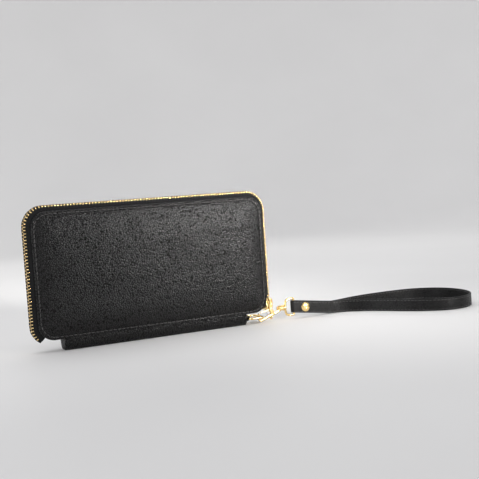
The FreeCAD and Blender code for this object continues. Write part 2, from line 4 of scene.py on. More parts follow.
import bmesh
import bpy
import numpy as np
from mathutils import Matrix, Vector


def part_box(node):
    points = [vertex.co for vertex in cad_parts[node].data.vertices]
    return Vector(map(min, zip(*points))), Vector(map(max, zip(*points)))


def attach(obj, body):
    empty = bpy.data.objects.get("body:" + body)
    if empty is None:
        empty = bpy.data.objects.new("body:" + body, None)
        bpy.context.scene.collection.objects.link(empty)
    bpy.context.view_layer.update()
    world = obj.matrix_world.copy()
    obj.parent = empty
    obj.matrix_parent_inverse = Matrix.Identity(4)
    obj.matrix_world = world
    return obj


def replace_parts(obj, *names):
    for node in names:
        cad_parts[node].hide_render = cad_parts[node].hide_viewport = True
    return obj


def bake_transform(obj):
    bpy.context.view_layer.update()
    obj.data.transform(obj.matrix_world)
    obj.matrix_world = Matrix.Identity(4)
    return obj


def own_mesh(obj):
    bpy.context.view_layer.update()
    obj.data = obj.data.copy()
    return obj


bl_info = {
    "name": "Wristlet Wallet",
    "version": (1, 0, 0),
    "blender": (4, 5, 0),
    "location": "3D View > Sidebar > Wallet",
    "description": "Builds a zip-around wristlet wallet in grained leather with gold hardware",
    "category": "Add Mesh",
}

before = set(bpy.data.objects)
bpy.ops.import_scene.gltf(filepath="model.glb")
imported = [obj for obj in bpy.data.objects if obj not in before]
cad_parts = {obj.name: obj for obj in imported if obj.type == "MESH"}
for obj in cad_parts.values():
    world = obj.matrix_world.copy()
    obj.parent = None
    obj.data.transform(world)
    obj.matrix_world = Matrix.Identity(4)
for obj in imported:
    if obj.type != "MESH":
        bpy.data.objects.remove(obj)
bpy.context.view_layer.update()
MM = 0.001

# The covers' outline, in mm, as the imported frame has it
PANEL_LOW, PANEL_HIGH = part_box("front_panel")
HALF_WIDTH = PANEL_HIGH.x / MM
COVER_BOTTOM = PANEL_LOW.z / MM
COVER_TOP = PANEL_HIGH.z / MM
TOP_CORNER = 11.5
BOTTOM_CORNER = 10.5
COVER_FACE = 8.0
LINING_FACE = 5.3
CLIP_Y = -5.5
SWIVEL_Z = 10.2
ROW_START_DEG = 232.0


# ---- settings -----------------------------------------------------------------
def size_property(name, description, default, low, high):
    return bpy.props.FloatProperty(name=name, description=description, default=default,
                                   min=low, max=high, unit="NONE")


def colour_property(name, description, default):
    return bpy.props.FloatVectorProperty(name=name, description=description, default=default,
                                         size=3, min=0.0, max=1.0, subtype="COLOR")


class WALLET_PG_leather(bpy.types.PropertyGroup):
    """Sizes in millimetres and colours of the leather pieces."""
    cover: colour_property("Cover", "Colour of the grained covers", (0.0026, 0.0024, 0.0024))
    inside: colour_property("Inside", "Colour of the smooth inner leather", (0.018, 0.016, 0.016))
    edge: colour_property("Edge paint", "Colour of the painted cut edges", (0.022, 0.02, 0.02))
    grain: size_property("Grain", "Width of one pebble of the grain, mm", 1.45, 0.4, 3.0)
    crown: size_property("Crown", "Height of the padded field over the border, mm", 2.6, 0.5, 4.0)
    border: size_property("Border", "Width of the flat stitched border, mm", 2.6, 2.0, 8.0)


class WALLET_PG_thread(bpy.types.PropertyGroup):
    """The seams: stitch sizes in millimetres and the thread's colour."""
    # The thread's default is dark grey, lighter than the cover leather: partly the thread's own colour, partly a
    # painted highlight so the stitches show as lit dots.
    colour: colour_property("Thread", "Colour of the waxed thread", (0.036, 0.034, 0.033))
    pitch: size_property("Pitch", "Distance from stitch to stitch, mm", 3.4, 2.0, 6.0)
    inset: size_property("Inset", "Distance from the edge to the seam, mm", 2.1, 1.0, 4.0)
    width: size_property("Width", "Width of one stitch, mm", 0.6, 0.3, 1.2)


class WALLET_PG_zip(bpy.types.PropertyGroup):
    """The long zip and the coin pocket's zip."""
    tape: colour_property("Tape", "Colour of the woven tape", (0.004, 0.004, 0.0042))
    metal: colour_property("Teeth", "Colour of the plated teeth", (0.80, 0.60, 0.29))
    pitch: size_property("Pitch", "Distance between the teeth of one row, mm", 2.39, 1.5, 4.0)


class WALLET_PG_hardware(bpy.types.PropertyGroup):
    """The clip, ring, eye, rivet, sliders and pullers."""
    gold: colour_property("Gold", "Colour of the plated hardware", (0.90, 0.66, 0.29))
    steel: colour_property("Steel", "Colour of the spring and the pin", (0.55, 0.55, 0.56))


class WALLET_PG_stage(bpy.types.PropertyGroup):
    """The floor and the lights."""
    floor: colour_property("Floor", "Colour of the pale floor", (0.74, 0.73, 0.72))
    key: size_property("Key light", "Power of the key light, W", 1.0, 0.0, 200.0)


# ---- shapes: helpers --------------------------------------------------------------
def finish_mesh(name, vertices, faces, face_uv=None, face_material=None, smooth=True, turn=True):
    """A mesh object from points in mm; doubles are merged and normals turned outwards."""
    mesh = bpy.data.meshes.new(name)
    mesh.from_pydata((np.asarray(vertices, float) * MM).tolist(), [], [list(f) for f in faces])
    if face_uv is not None:
        layer = mesh.uv_layers.new(name="Along")
        layer.data.foreach_set("uv", np.concatenate([np.ravel(u) for u in face_uv]).astype(np.float32))
    if face_material is not None:
        mesh.polygons.foreach_set("material_index", np.asarray(face_material, np.int32))
    mesh.polygons.foreach_set("use_smooth", np.full(len(mesh.polygons), smooth))
    if turn:
        shell = bmesh.new()
        shell.from_mesh(mesh)
        bmesh.ops.remove_doubles(shell, verts=shell.verts, dist=1e-7)
        bmesh.ops.recalc_face_normals(shell, faces=shell.faces)
        shell.to_mesh(mesh)
        shell.free()
    mesh.validate()
    made = bpy.data.objects.new(name, mesh)
    bpy.context.scene.collection.objects.link(made)
    return made


def grid_faces(rows, columns, wrap_rows=False, wrap_columns=False):
    """Quads of a rows by columns grid, as point numbers and as (row, column) corners."""
    i, j = np.meshgrid(np.arange(rows if wrap_rows else rows - 1),
                       np.arange(columns if wrap_columns else columns - 1), indexing="ij")
    i, j = i.ravel(), j.ravel()
    corner_i = np.stack([i, i, i + 1, i + 1], 1)
    corner_j = np.stack([j, j + 1, j + 1, j], 1)
    quads = (corner_i % rows) * columns + corner_j % columns
    return quads, corner_i, corner_j


def grid_object(name, points, wrap_rows=False, wrap_columns=False, caps=False, u=None, v=None,
                column_material=None):
    """A surface over a grid of points (rows, columns, 3); u runs with the rows, v with the columns."""
    rows, columns = points.shape[:2]
    quads, corner_i, corner_j = grid_faces(rows, columns, wrap_rows, wrap_columns)
    u = np.arange(rows + 1.0) if u is None else np.append(u, 2 * u[-1] - u[-2])
    v = np.arange(columns + 1.0) if v is None else np.append(v, 2 * v[-1] - v[-2])
    face_uv = list(np.stack([u[corner_i], v[corner_j]], 2))
    faces = list(quads)
    material = None
    if column_material is not None:
        material = list(np.asarray(column_material)[corner_j[:, 0]])
    if caps:
        for row in (0, rows - 1):
            faces.append(np.arange(row * columns, (row + 1) * columns))
            face_uv.append(np.zeros((columns, 2)))
            if material is not None:
                material.append(1)
    return finish_mesh(name, points.reshape(-1, 3), faces, face_uv, material)


def repeated(name, points, faces, origins, axes, material=None, smooth=True):
    """Copies of one small shape; axes holds each copy's three directions as rows."""
    count, size = len(origins), len(points)
    placed = np.einsum("pk,nkd->npd", points, axes) + origins[:, None, :]
    shifts = (np.arange(count) * size)[:, None]
    all_faces = []
    for face in faces:
        all_faces.extend((np.asarray(face)[None, :] + shifts).tolist())
    return finish_mesh(name, placed.reshape(-1, 3), all_faces, smooth=smooth)


def lofted(rings):
    """Points and faces of a closed form through rings of equal count, with flat ends."""
    rings = np.asarray(rings, float)
    quads = grid_faces(rings.shape[0], rings.shape[1], wrap_columns=True)[0]
    last = (rings.shape[0] - 1) * rings.shape[1]
    ends = [np.arange(rings.shape[1]), np.arange(last, last + rings.shape[1])]
    return rings.reshape(-1, 3), list(quads) + ends


def spline(points, per_run, closed=False):
    """Quadratic B-spline: each corner is cut by a parabola between the middles of its runs."""
    p = np.asarray(points, float)
    if closed:
        before, after = np.roll(p, 1, 0), np.roll(p, -1, 0)
        start, end = (before + p) / 2, (p + after) / 2
        corner = p
    else:
        middle = (p[:-1] + p[1:]) / 2
        start, corner, end = middle[:-1].copy(), p[1:-1], middle[1:].copy()
        start[0], end[-1] = p[0], p[-1]
    t = np.linspace(0, 1, per_run, endpoint=False)[None, :, None]
    line = (start[:, None] * (1 - t) ** 2 + corner[:, None] * 2 * t * (1 - t) + end[:, None] * t ** 2)
    line = line.reshape(-1, p.shape[1])
    return line if closed else np.vstack([line, end[-1:]])


def evenly(line, step):
    """The same line with points an even step apart, and the distance run at each."""
    run = np.append(0, np.cumsum(np.linalg.norm(np.diff(line, axis=0), axis=1)))
    at = np.linspace(0, run[-1], max(2, int(round(run[-1] / step)) + 1))
    return np.stack([np.interp(at, run, line[:, k]) for k in range(line.shape[1])], 1), at


def unit(vectors):
    return vectors / np.maximum(np.linalg.norm(vectors, axis=-1, keepdims=True), 1e-12)


def oval(count, power=2.0):
    """A closed outline of radius one: power 2 is round, and higher powers are squarer."""
    a = np.linspace(0, 2 * math.pi, count, endpoint=False) + math.pi / count
    c, s = np.cos(a), np.sin(a)
    return np.stack([np.sign(c) * np.abs(c) ** (2 / power), np.sign(s) * np.abs(s) ** (2 / power)], 1)


def rod(path, half_sizes, across, count=16, power=2.0, closed=False):
    """A bar carried along a path: half_sizes gives (across, other) at each point, across a direction."""
    path = np.asarray(path, float)
    if closed:
        run = unit(np.roll(path, -1, 0) - np.roll(path, 1, 0))
    else:
        run = unit(np.gradient(path, axis=0))
    wide = np.broadcast_to(np.asarray(across, float), path.shape)
    wide = unit(wide - (wide * run).sum(1)[:, None] * run)
    other = np.cross(run, wide)
    sizes = np.broadcast_to(np.asarray(half_sizes, float), (len(path), 2))
    ring = oval(count, power)
    return (path[:, None] + wide[:, None] * (ring[None, :, :1] * sizes[:, None, :1])
            + other[:, None] * (ring[None, :, 1:] * sizes[:, None, 1:]))


def rounded_ends(path, sizes, steps=5):
    """Adds a half round to both ends of an open bar by pulling short extra rings together."""
    turn = np.linspace(0, math.pi / 2, steps + 1)[:-1]
    first, last = unit(path[:1] - path[1:2]), unit(path[-1:] - path[-2:-1])
    reach0, reach1 = sizes[0].min(), sizes[-1].min()
    low = path[:1] + first * (reach0 * np.cos(turn))[:, None]
    high = path[-1:] + last * (reach1 * np.cos(turn[::-1]))[:, None]
    low_sizes = sizes[0] * np.maximum(np.sin(turn), 0.08)[:, None]
    high_sizes = sizes[-1] * np.maximum(np.sin(turn[::-1]), 0.08)[:, None]
    return np.vstack([low, path, high]), np.vstack([low_sizes, sizes, high_sizes])


def slab_rings(outline, low, high, edge):
    """Rings (n, points, 3) of a plate in local X and Y, from low to high, its rims rounded by edge."""
    ahead, behind = np.roll(outline, -1, 0), np.roll(outline, 1, 0)
    run = unit(ahead - behind)
    out = np.stack([run[:, 1], -run[:, 0]], 1)
    area = (outline[:, 0] * ahead[:, 1] - ahead[:, 0] * outline[:, 1]).sum()
    out = out if area > 0 else -out
    turn = np.linspace(0, math.pi / 2, 4)
    rings = []
    for a in turn:
        rings.append(np.c_[outline - out * edge * (1 - math.sin(a)), np.full(len(outline), low + edge * (1 - math.cos(a)))])
    for a in turn[::-1]:
        rings.append(np.c_[outline - out * edge * (1 - math.sin(a)), np.full(len(outline), high - edge * (1 - math.cos(a)))])
    return np.array(rings)


def rounded_box(width, length, radius, count=6):
    """A closed rectangle outline with round corners, centred on nothing: width along X, length along Y."""
    turn = np.linspace(0, math.pi / 2, count)
    corners = []
    for k, (sx, sy) in enumerate(((1, 1), (-1, 1), (-1, -1), (1, -1))):
        a = turn + k * math.pi / 2
        corners.append(np.c_[sx * (width / 2 - radius) + radius * np.cos(a),
                             sy * (length / 2 - radius) + radius * np.sin(a)])
    return np.vstack(corners)


def joined(name, parts, smooth=True):
    """One object from several closed forms, each given as (points, faces)."""
    vertices, faces, start = [], [], 0
    for points, some in parts:
        vertices.append(np.asarray(points))
        faces.extend([[int(k) + start for k in face] for face in some])
        start += len(points)
    return finish_mesh(name, np.vstack(vertices), faces, smooth=smooth)


def dress(piece, body, slot, *paints):
    """Gives a piece its materials and lets it ride on its body; the slot is not used."""
    piece.data.materials.clear()
    for paint in paints:
        piece.data.materials.append(paint)
    if body:
        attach(piece, body)
    return piece


# ---- materials ------------------------------------------------------------------
class Recipe:
    """A small maker of node materials: values are set on sockets, and sockets are linked."""

    def __init__(self, name):
        self.material = bpy.data.materials.new(name)
        self.material.use_nodes = True
        self.tree = self.material.node_tree
        self.tree.nodes.clear()
        self.shader = self.tree.nodes.new("ShaderNodeBsdfPrincipled")
        output = self.tree.nodes.new("ShaderNodeOutputMaterial")
        self.tree.links.new(self.shader.outputs[0], output.inputs[0])

    def put(self, socket, value):
        if isinstance(value, bpy.types.NodeSocket):
            self.tree.links.new(value, socket)
        else:
            socket.default_value = value

    def node(self, kind, inputs, out=0, **settings):
        made = self.tree.nodes.new("ShaderNode" + kind)
        for key, value in settings.items():
            setattr(made, key, value)
        for key, value in inputs.items():
            self.put(made.inputs[key], value)
        return made.outputs[out]

    def math(self, operation, a, b=0.0, clamp=False):
        return self.node("Math", {0: a, 1: b}, operation=operation, use_clamp=clamp)

    def spread(self, value, low, high, to_low=0.0, to_high=1.0):
        return self.node("MapRange", {0: value, 1: low, 2: high, 3: to_low, 4: to_high},
                         interpolation_type="SMOOTHSTEP")

    def blend(self, share, a, b):
        """Colour a at share 0 and b at share 1."""
        made = self.tree.nodes.new("ShaderNodeMix")
        made.data_type = "RGBA"
        self.put(made.inputs[0], share)
        self.put(made.inputs[6], a)
        self.put(made.inputs[7], b)
        return made.outputs[2]

    def place(self):
        return self.node("TexCoord", {}, out="Object")

    def along(self):
        """The piece's own UV map as (u, v)."""
        uv = self.tree.nodes.new("ShaderNodeUVMap")
        uv.uv_map = "Along"
        split = self.tree.nodes.new("ShaderNodeSeparateXYZ")
        self.tree.links.new(uv.outputs[0], split.inputs[0])
        return split.outputs[0], split.outputs[1]

    def noise(self, where, scale, detail=3.0, rough=0.5):
        return self.node("TexNoise", {"Vector": where, "Scale": scale, "Detail": detail, "Roughness": rough})

    def bump(self, height, depth, strength=1.0, under=None):
        inputs = {"Height": height, "Distance": depth, "Strength": strength}
        if under is not None:
            inputs["Normal"] = under
        return self.node("Bump", inputs)

    def finish(self, **sockets):
        for name, value in sockets.items():
            self.put(self.shader.inputs[name.replace("_", " ")], value)
        return self.material


def shade(colour, factor):
    return (*[min(1.0, c * factor) for c in colour], 1.0)


def leather(name, colour, grain, depth, rough, holes=None):
    """Pebbled leather: warped cells divided by creases, pores, glossier worn tops, painted shade darkening the creases
    and a painted highlight lightening the cells' middles, and a slow cloud of colour.

    holes is (inset, radius) of the needle holes of a seam, read from the piece's own map, whose
    u counts stitches and whose v is the distance from the edge in mm.
    """
    r = Recipe(name)
    where = r.place()
    warp = r.node("TexNoise", {"Vector": where, "Scale": 420.0, "Detail": 2.0}, out=1)
    shift = r.node("VectorMath", {0: warp, 3: 0.0011 * grain}, operation="SCALE")
    moved = r.node("VectorMath", {0: where, 1: shift}, operation="ADD")
    cells = r.node("TexVoronoi", {"Vector": moved, "Scale": 1000.0 / grain}, feature="DISTANCE_TO_EDGE")
    domes = r.node("TexVoronoi", {"Vector": moved, "Scale": 1000.0 / grain}, feature="F1")
    crease = r.spread(cells, 0.0, 0.16)
    dome = r.spread(domes, 0.75, 0.1)
    large = r.noise(where, 130.0, 3.0)
    pores = r.noise(where, 5200.0, 2.0)
    height = r.math("ADD", r.math("MULTIPLY", crease, 0.55), r.math("MULTIPLY", dome, 0.3))
    height = r.math("ADD", height, r.math("MULTIPLY", large, 0.5))
    height = r.math("ADD", height, r.math("MULTIPLY", pores, 0.12))
    cloud = r.spread(r.noise(where, 28.0, 4.0), 0.3, 0.7)
    # Painted shade and highlight: the creases take a darker copy of the colour and the cells' middles a lighter one.
    dark = r.blend(cloud, shade(colour, 0.42), shade(colour, 0.6))
    light = r.blend(cloud, shade(colour, 1.0), shade(colour, 1.5))
    tint = r.blend(crease, dark, light)
    gloss = r.spread(height, 0.4, 1.2, rough + 0.16, rough - 0.07)
    if holes:
        u, v = r.along()
        off_u = r.math("ABSOLUTE", r.math("SUBTRACT", r.math("FRACT", r.math("ADD", u, 0.5)), 0.5))
        off_u = r.math("MULTIPLY", off_u, 3.4)
        off_v = r.math("SUBTRACT", v, holes[0])
        far = r.math("SQRT", r.math("ADD", r.math("MULTIPLY", off_u, off_u), r.math("MULTIPLY", off_v, off_v)))
        solid = r.spread(far, holes[1] * 0.45, holes[1])
        # Painted shade in the needle holes: they are coloured near-black.
        tint = r.blend(solid, (0.001, 0.001, 0.001, 1.0), tint)
        height = r.math("SUBTRACT", height, r.math("MULTIPLY", r.math("SUBTRACT", 1.0, solid), 2.0))
    return r.finish(Base_Color=tint, Roughness=gloss, Normal=r.bump(height, depth, 0.9),
                    Specular_IOR_Level=r.spread(cells, 0.01, 0.22, 0.1, 0.38))


def edge_paint(name, colour):
    """Painted cut edge: a thick satin film with slow waves and small nicks."""
    r = Recipe(name)
    where = r.place()
    wave = r.noise(where, 260.0, 3.0)
    nick = r.spread(r.noise(where, 900.0, 4.0), 0.62, 0.72)
    tint = r.blend(nick, shade(colour, 0.9), shade(colour, 2.4))
    gloss = r.spread(wave, 0.3, 0.7, 0.22, 0.36)
    height = r.math("ADD", wave, r.math("MULTIPLY", nick, 0.4))
    return r.finish(Base_Color=tint, Roughness=gloss, Normal=r.bump(height, 0.00006, 0.6),
                    Coat_Weight=0.25, Coat_Roughness=0.2)


def thread(name, colour):
    """Waxed thread: fine slanting plies and a dusty bloom."""
    r = Recipe(name)
    where = r.place()
    plies = r.node("TexWave", {"Vector": where, "Scale": 1400.0, "Distortion": 1.2, "Detail": 2.0},
                   wave_type="BANDS", bands_direction="DIAGONAL")
    dust = r.spread(r.noise(where, 700.0, 3.0), 0.4, 0.75)
    tint = r.blend(dust, shade(colour, 0.8), shade(colour, 2.2))
    return r.finish(Base_Color=tint, Roughness=r.spread(plies, 0.0, 1.0, 0.62, 0.45),
                    Normal=r.bump(plies, 0.00005, 0.8), Sheen_Weight=0.2)


def woven(name, colour, rib=0.75):
    """Woven tape or twill: slanting ribs whose lean turns over at every second band."""
    r = Recipe(name)
    u, v = r.along()
    lean = r.math("PINGPONG", v, 2.0)
    phase = r.math("MULTIPLY", r.math("ADD", u, r.math("MULTIPLY", lean, 0.8)), 2 * math.pi / rib)
    ribs = r.math("SINE", phase)
    yarn = r.math("SINE", r.math("MULTIPLY", v, 2 * math.pi / 0.42))
    fuzz = r.noise(r.place(), 3600.0, 3.0)
    height = r.math("ADD", r.math("MULTIPLY", ribs, 0.5), r.math("MULTIPLY", yarn, 0.28))
    height = r.math("ADD", height, r.math("MULTIPLY", fuzz, 0.5))
    # Painted shade and highlight of the weave: the colour darkens in the grooves between ribs and yarns and lightens
    # on their crowns, with the fuzz's random tone mixed in.
    tint = r.blend(r.spread(height, -0.6, 1.0), shade(colour, 0.55), shade(colour, 1.9))
    return r.finish(Base_Color=tint, Roughness=r.spread(fuzz, 0.3, 0.7, 0.75, 0.9),
                    Normal=r.bump(height, 0.00012, 0.9), Specular_IOR_Level=0.15,
                    Sheen_Weight=0.02, Sheen_Roughness=0.4)


def plated(name, colour, rough=0.16):
    """Plated metal: hairline scratches, and handling marks that are slightly deeper in tone and a little rougher."""
    r = Recipe(name)
    where = r.place()
    stretched = r.node("Mapping", {"Vector": where, "Scale": (0.12, 1.0, 1.0), "Rotation": (0.0, 0.5, 0.3)})
    hair = r.noise(stretched, 5200.0, 3.0)
    smudge = r.spread(r.noise(where, 240.0, 4.0, 0.6), 0.35, 0.75)
    tint = r.blend(smudge, shade(colour, 1.0), shade(colour, 0.84))
    gloss = r.math("ADD", r.spread(hair, 0.35, 0.7, 0.0, 0.07), r.spread(smudge, 0.0, 1.0, rough, rough + 0.14))
    return r.finish(Base_Color=tint, Roughness=gloss, Metallic=1.0, Normal=r.bump(hair, 0.000012, 0.5))


def plain_core(name, colour):
    """Foam or board core: soft speckle and open cells."""
    r = Recipe(name)
    where = r.place()
    cells = r.node("TexVoronoi", {"Vector": where, "Scale": 1500.0}, feature="F1")
    specks = r.spread(r.noise(where, 800.0, 4.0), 0.35, 0.7)
    tint = r.blend(specks, shade(colour, 0.8), shade(colour, 1.15))
    return r.finish(Base_Color=tint, Roughness=r.spread(cells, 0.0, 0.7, 0.85, 0.95),
                    Normal=r.bump(cells, 0.0002, 0.7))


def pale_floor(name, colour):
    """Smooth pale paper: a slow cloud of tone and a very fine tooth."""
    r = Recipe(name)
    where = r.place()
    cloud = r.spread(r.noise(where, 3.0, 3.0), 0.3, 0.7)
    tint = r.blend(cloud, shade(colour, 0.985), shade(colour, 1.015))
    return r.finish(Base_Color=tint, Roughness=0.62, Normal=r.bump(r.noise(where, 900.0, 2.0), 0.0001, 0.1))


PAINTS = {}


def paint(name):
    """The named material, made once from the settings."""
    if name not in PAINTS:
        scene = bpy.context.scene
        hide, seam, zips, metal = scene.wallet_leather, scene.wallet_thread, scene.wallet_zip, scene.wallet_hardware
        makers = {
            "cover leather": lambda: leather("cover leather", hide.cover, hide.grain, 0.0005, 0.4,
                                             (seam.inset, 0.55)),
            "spine leather": lambda: leather("spine leather", hide.cover, hide.grain, 0.0005, 0.42),
            "strap leather": lambda: leather("strap leather", hide.cover, hide.grain * 0.7, 0.0001, 0.4,
                                             (1.35, 0.42)),
            "inner leather": lambda: leather("inner leather", hide.inside, hide.grain * 0.5, 0.00006, 0.42),
            "edge paint": lambda: edge_paint("edge paint", hide.edge),
            # The strap's edge is a lighter tan than the cover's edge: partly the edge paint's own tone, partly a
            # painted highlight along the band's edges.
            "strap edge": lambda: edge_paint("strap edge", (0.075, 0.062, 0.052)),
            "thread": lambda: thread("thread", seam.colour),
            "zip tape": lambda: woven("zip tape", zips.tape),
            "lining cloth": lambda: woven("lining cloth", hide.inside, 0.55),
            "zip metal": lambda: plated("zip metal", zips.metal, 0.2),
            "gold": lambda: plated("gold", metal.gold, 0.13),
            "steel": lambda: plated("steel", metal.steel, 0.3),
            "foam": lambda: plain_core("foam", (0.5, 0.5, 0.5)),
            "board": lambda: plain_core("board", (0.42, 0.36, 0.28)),
        }
        PAINTS[name] = makers[name]()
    return PAINTS[name]


# ---- covers -----------------------------------------------------------------------
def border_ring(inset, half, low, high, radii, steps=(16, 190, 88)):
    """A rounded rectangle moved in by inset: points (x, z) and outward directions.

    The four corners are quarter turns; the sides between them are evenly divided, so every ring
    has the same count. The innermost ring has no height left and closes on a line.
    """
    corner, long, short = steps
    room = (high - low) / 2 - inset
    low_r = max(radii[0] - inset, 0.25 * room)
    high_r = max(radii[1] - inset, 0.25 * room)
    x, z0, z1 = half - inset, low + inset, high - inset
    centres = [(x - low_r, z0 + low_r, low_r), (x - high_r, z1 - high_r, high_r),
               (-x + high_r, z1 - high_r, high_r), (-x + low_r, z0 + low_r, low_r)]
    points, out = [], []
    for k, (cx, cz, radius) in enumerate(centres):
        a = np.radians(np.linspace(-90, 0, corner) + 90 * k)
        away = np.stack([np.cos(a), np.sin(a)], 1)
        arc = np.array([cx, cz]) + away * radius
        nx, nz, after = centres[(k + 1) % 4]
        start = np.array([nx, nz]) + away[-1] * after
        share = np.linspace(0, 1, (short, long)[k % 2] + 1)[1:-1, None]
        points += [arc, arc[-1] + (start - arc[-1]) * share]
        out += [away, np.repeat(away[-1:], len(share), 0)]
    return np.vstack(points), np.vstack(out)


COVER_BORDER = dict(half=HALF_WIDTH, low=COVER_BOTTOM, high=COVER_TOP, radii=(BOTTOM_CORNER, TOP_CORNER))


def ring_run(points):
    """Distance along a closed ring at each point, and its whole length."""
    gaps = np.linalg.norm(np.roll(points, -1, 0) - points, axis=1)
    return np.append(0, np.cumsum(gaps))[:-1], gaps.sum()


def pillow_depth(x, z, border):
    """Distance inside the stitched border, its ridges rounded off where two sides are equally near."""
    half, middle = HALF_WIDTH - border, (COVER_TOP + COVER_BOTTOM) / 2
    rise = (COVER_TOP - COVER_BOTTOM) / 2 - border
    radius = BOTTOM_CORNER - border + 0.5
    qx, qz = np.abs(x) - half + radius, np.abs(z - middle) - rise + radius
    outside = np.hypot(np.maximum(qx, 0), np.maximum(qz, 0))
    a, b = np.maximum(-qx, 1e-3), np.maximum(-qz, 1e-3)
    inside = (a ** -3 + b ** -3) ** (-1 / 3)
    return np.maximum(radius - outside + np.where((qx < 0) & (qz < 0), inside, 0), 0)


def slow_waves(x, z, length, seed):
    """A calm uneven surface from -1 to 1: five sine waves of about one length in fixed directions."""
    chance = np.random.default_rng(seed)
    total = np.zeros_like(x)
    for turn, phase, stretch in chance.random((5, 3)):
        a = turn * math.pi
        k = 2 * math.pi / (length * (0.7 + 0.8 * stretch))
        total += np.sin(k * (x * math.cos(a) + z * math.sin(a)) + phase * 2 * math.pi)
    return total / 3.2


def shell_over(name, border, columns, side, relief, paint_column=None, steps=(16, 190, 88)):
    """A closed shell over rounded rings: each column is (inset, distance from the middle plane)."""
    rings = [border_ring(inset, steps=steps, **border)[0] for inset, _ in columns]
    points = np.zeros((len(rings[0]), len(columns), 3))
    for j, (ring, (inset, y)) in enumerate(zip(rings, columns)):
        points[:, j, 0], points[:, j, 2] = ring[:, 0], ring[:, 1]
        points[:, j, 1] = side * (y + relief(ring[:, 0], ring[:, 1], inset, y))
    seam = border_ring(2.1, steps=steps, **border)[0]
    run, whole = ring_run(seam)
    count = round(whole / bpy.context.scene.wallet_thread.pitch)
    insets = np.array([inset for inset, _ in columns])
    return grid_object(name, points, wrap_rows=True, u=run / whole * count, v=insets,
                       column_material=paint_column)


def cover_leather(side, name):
    """The padded cover: painted rim, flat border with a sunk seam, and a soft crowned field."""
    hide, seam = bpy.context.scene.wallet_leather, bpy.context.scene.wallet_thread
    room = (COVER_TOP - COVER_BOTTOM) / 2
    rim = [(room, 6.75), (1.8, 6.75), (0.35, 6.72), (0.07, 6.82), (0.0, 7.0), (0.03, 7.22), (0.13, 7.46),
           (0.3, 7.68), (0.52, 7.84), (0.78, 7.94)]
    field = [1.05, 1.35, 1.6, 1.85, 2.1, 2.35, 2.6, 2.9, 3.2, 3.6, 4.0, 4.5, 5.0, 5.6, 6.3, 7.0, 7.8, 8.8, 10.0]
    field += list(np.linspace(11.0, room, 44))
    columns = rim + [(inset, COVER_FACE) for inset in field]

    def relief(x, z, inset, y):
        if y < COVER_FACE - 1e-6:
            return np.zeros_like(x)
        deep = pillow_depth(x, z, hide.border)
        share = 1 - np.exp(-deep / 8.5)
        waves = 0.2 * slow_waves(x, z, 21.0, 4) * np.clip(deep / 14, 0, 1)
        ripples = 0.05 * slow_waves(x, z, 6.5, 9) * share
        tuck = -0.05 * np.exp(-((inset - hide.border) / 0.5) ** 2)
        channel = -0.3 * math.exp(-((inset - seam.inset) / 0.42) ** 2)
        return hide.crown * share + waves + ripples + tuck + channel

    is_rim = [1 if 2 <= j <= 7 else 0 for j in range(len(columns))]
    made = shell_over(name, COVER_BORDER, columns, side, relief, is_rim)
    return dress(made, ("front_cover", "back_cover")[side > 0], "grained_leather",
                 paint("cover leather"), paint("edge paint"))


def stitch_shape(length, width, height):
    """One stitch: a short round bar whose ends dive into their holes."""
    reach = np.array([-0.5, -0.46, -0.34, 0.0, 0.34, 0.46, 0.5]) * length
    swell = np.array([0.25, 0.62, 0.95, 1.0, 0.95, 0.62, 0.25])
    dive = np.array([-0.9, -0.55, -0.1, 0.12, -0.1, -0.55, -0.9]) * height
    ring = oval(6)
    rings = [np.c_[np.full(6, x), ring[:, 0] * width / 2 * s, ring[:, 1] * height / 2 + d]
             for x, s, d in zip(reach, swell, dive)]
    return lofted(rings)


def ring_stitches(name, border, inset, y, side):
    """Stitches along a ring: each half way between two holes and leaning a little."""
    seam = bpy.context.scene.wallet_thread
    ring, out = border_ring(inset, **border)
    run, whole = ring_run(ring)
    count = round(whole / seam.pitch)
    at = (np.arange(count) + 0.5) / count * whole
    closed_run = np.append(run, whole)
    line = [np.interp(at, closed_run, np.append(ring[:, k], ring[0, k])) for k in (0, 1)]
    away = unit(np.stack([np.interp(at, closed_run, np.append(out[:, k], out[0, k])) for k in (0, 1)], 1))
    along = np.stack([-away[:, 1], np.zeros(count), away[:, 0]], 1)
    outward = np.stack([away[:, 0], np.zeros(count), away[:, 1]], 1)
    lean = 0.1
    first = unit(along + outward * lean)
    second = unit(outward - along * lean)
    third = np.broadcast_to([0.0, side, 0.0], (count, 3))
    origins = np.stack([line[0], np.full(count, side * y), line[1]], 1)
    points, faces = stitch_shape(seam.pitch * 0.78, seam.width, 0.42)
    return repeated(name, points, faces, origins, np.stack([first, second, third], 1))


# ---- the long zip ------------------------------------------------------------------
def edge_path(end_z, step=1.0):
    """The cover's edge round three sides: points (x, z) and outward directions, evenly spaced.

    It starts part way round the lower left corner, climbs, crosses the top and comes down the right.
    """
    low, high = COVER_BOTTOM + BOTTOM_CORNER, COVER_TOP - TOP_CORNER
    legs = [(-(HALF_WIDTH - BOTTOM_CORNER), low, BOTTOM_CORNER, ROW_START_DEG, 180.0),
            (-(HALF_WIDTH - TOP_CORNER), high, TOP_CORNER, 180.0, 90.0),
            (HALF_WIDTH - TOP_CORNER, high, TOP_CORNER, 90.0, 0.0)]
    points, out = [], []
    for x, z, radius, first, last in legs:
        a = np.radians(np.linspace(first, last, 60))
        away = np.stack([np.cos(a), np.sin(a)], 1)
        points.append(np.array([x, z]) + away * radius)
        out.append(away)
    points.append(np.array([[HALF_WIDTH, end_z]]))
    out.append(np.array([[1.0, 0.0]]))
    line = np.hstack([np.vstack(points), np.vstack(out)])
    run = np.append(0, np.cumsum(np.linalg.norm(np.diff(line[:, :2], axis=0), axis=1)))
    at = np.linspace(0, run[-1], int(run[-1] / step) + 1)
    even = np.stack([np.interp(at, run, line[:, k]) for k in range(4)], 1)
    return even[:, :2], unit(even[:, 2:])


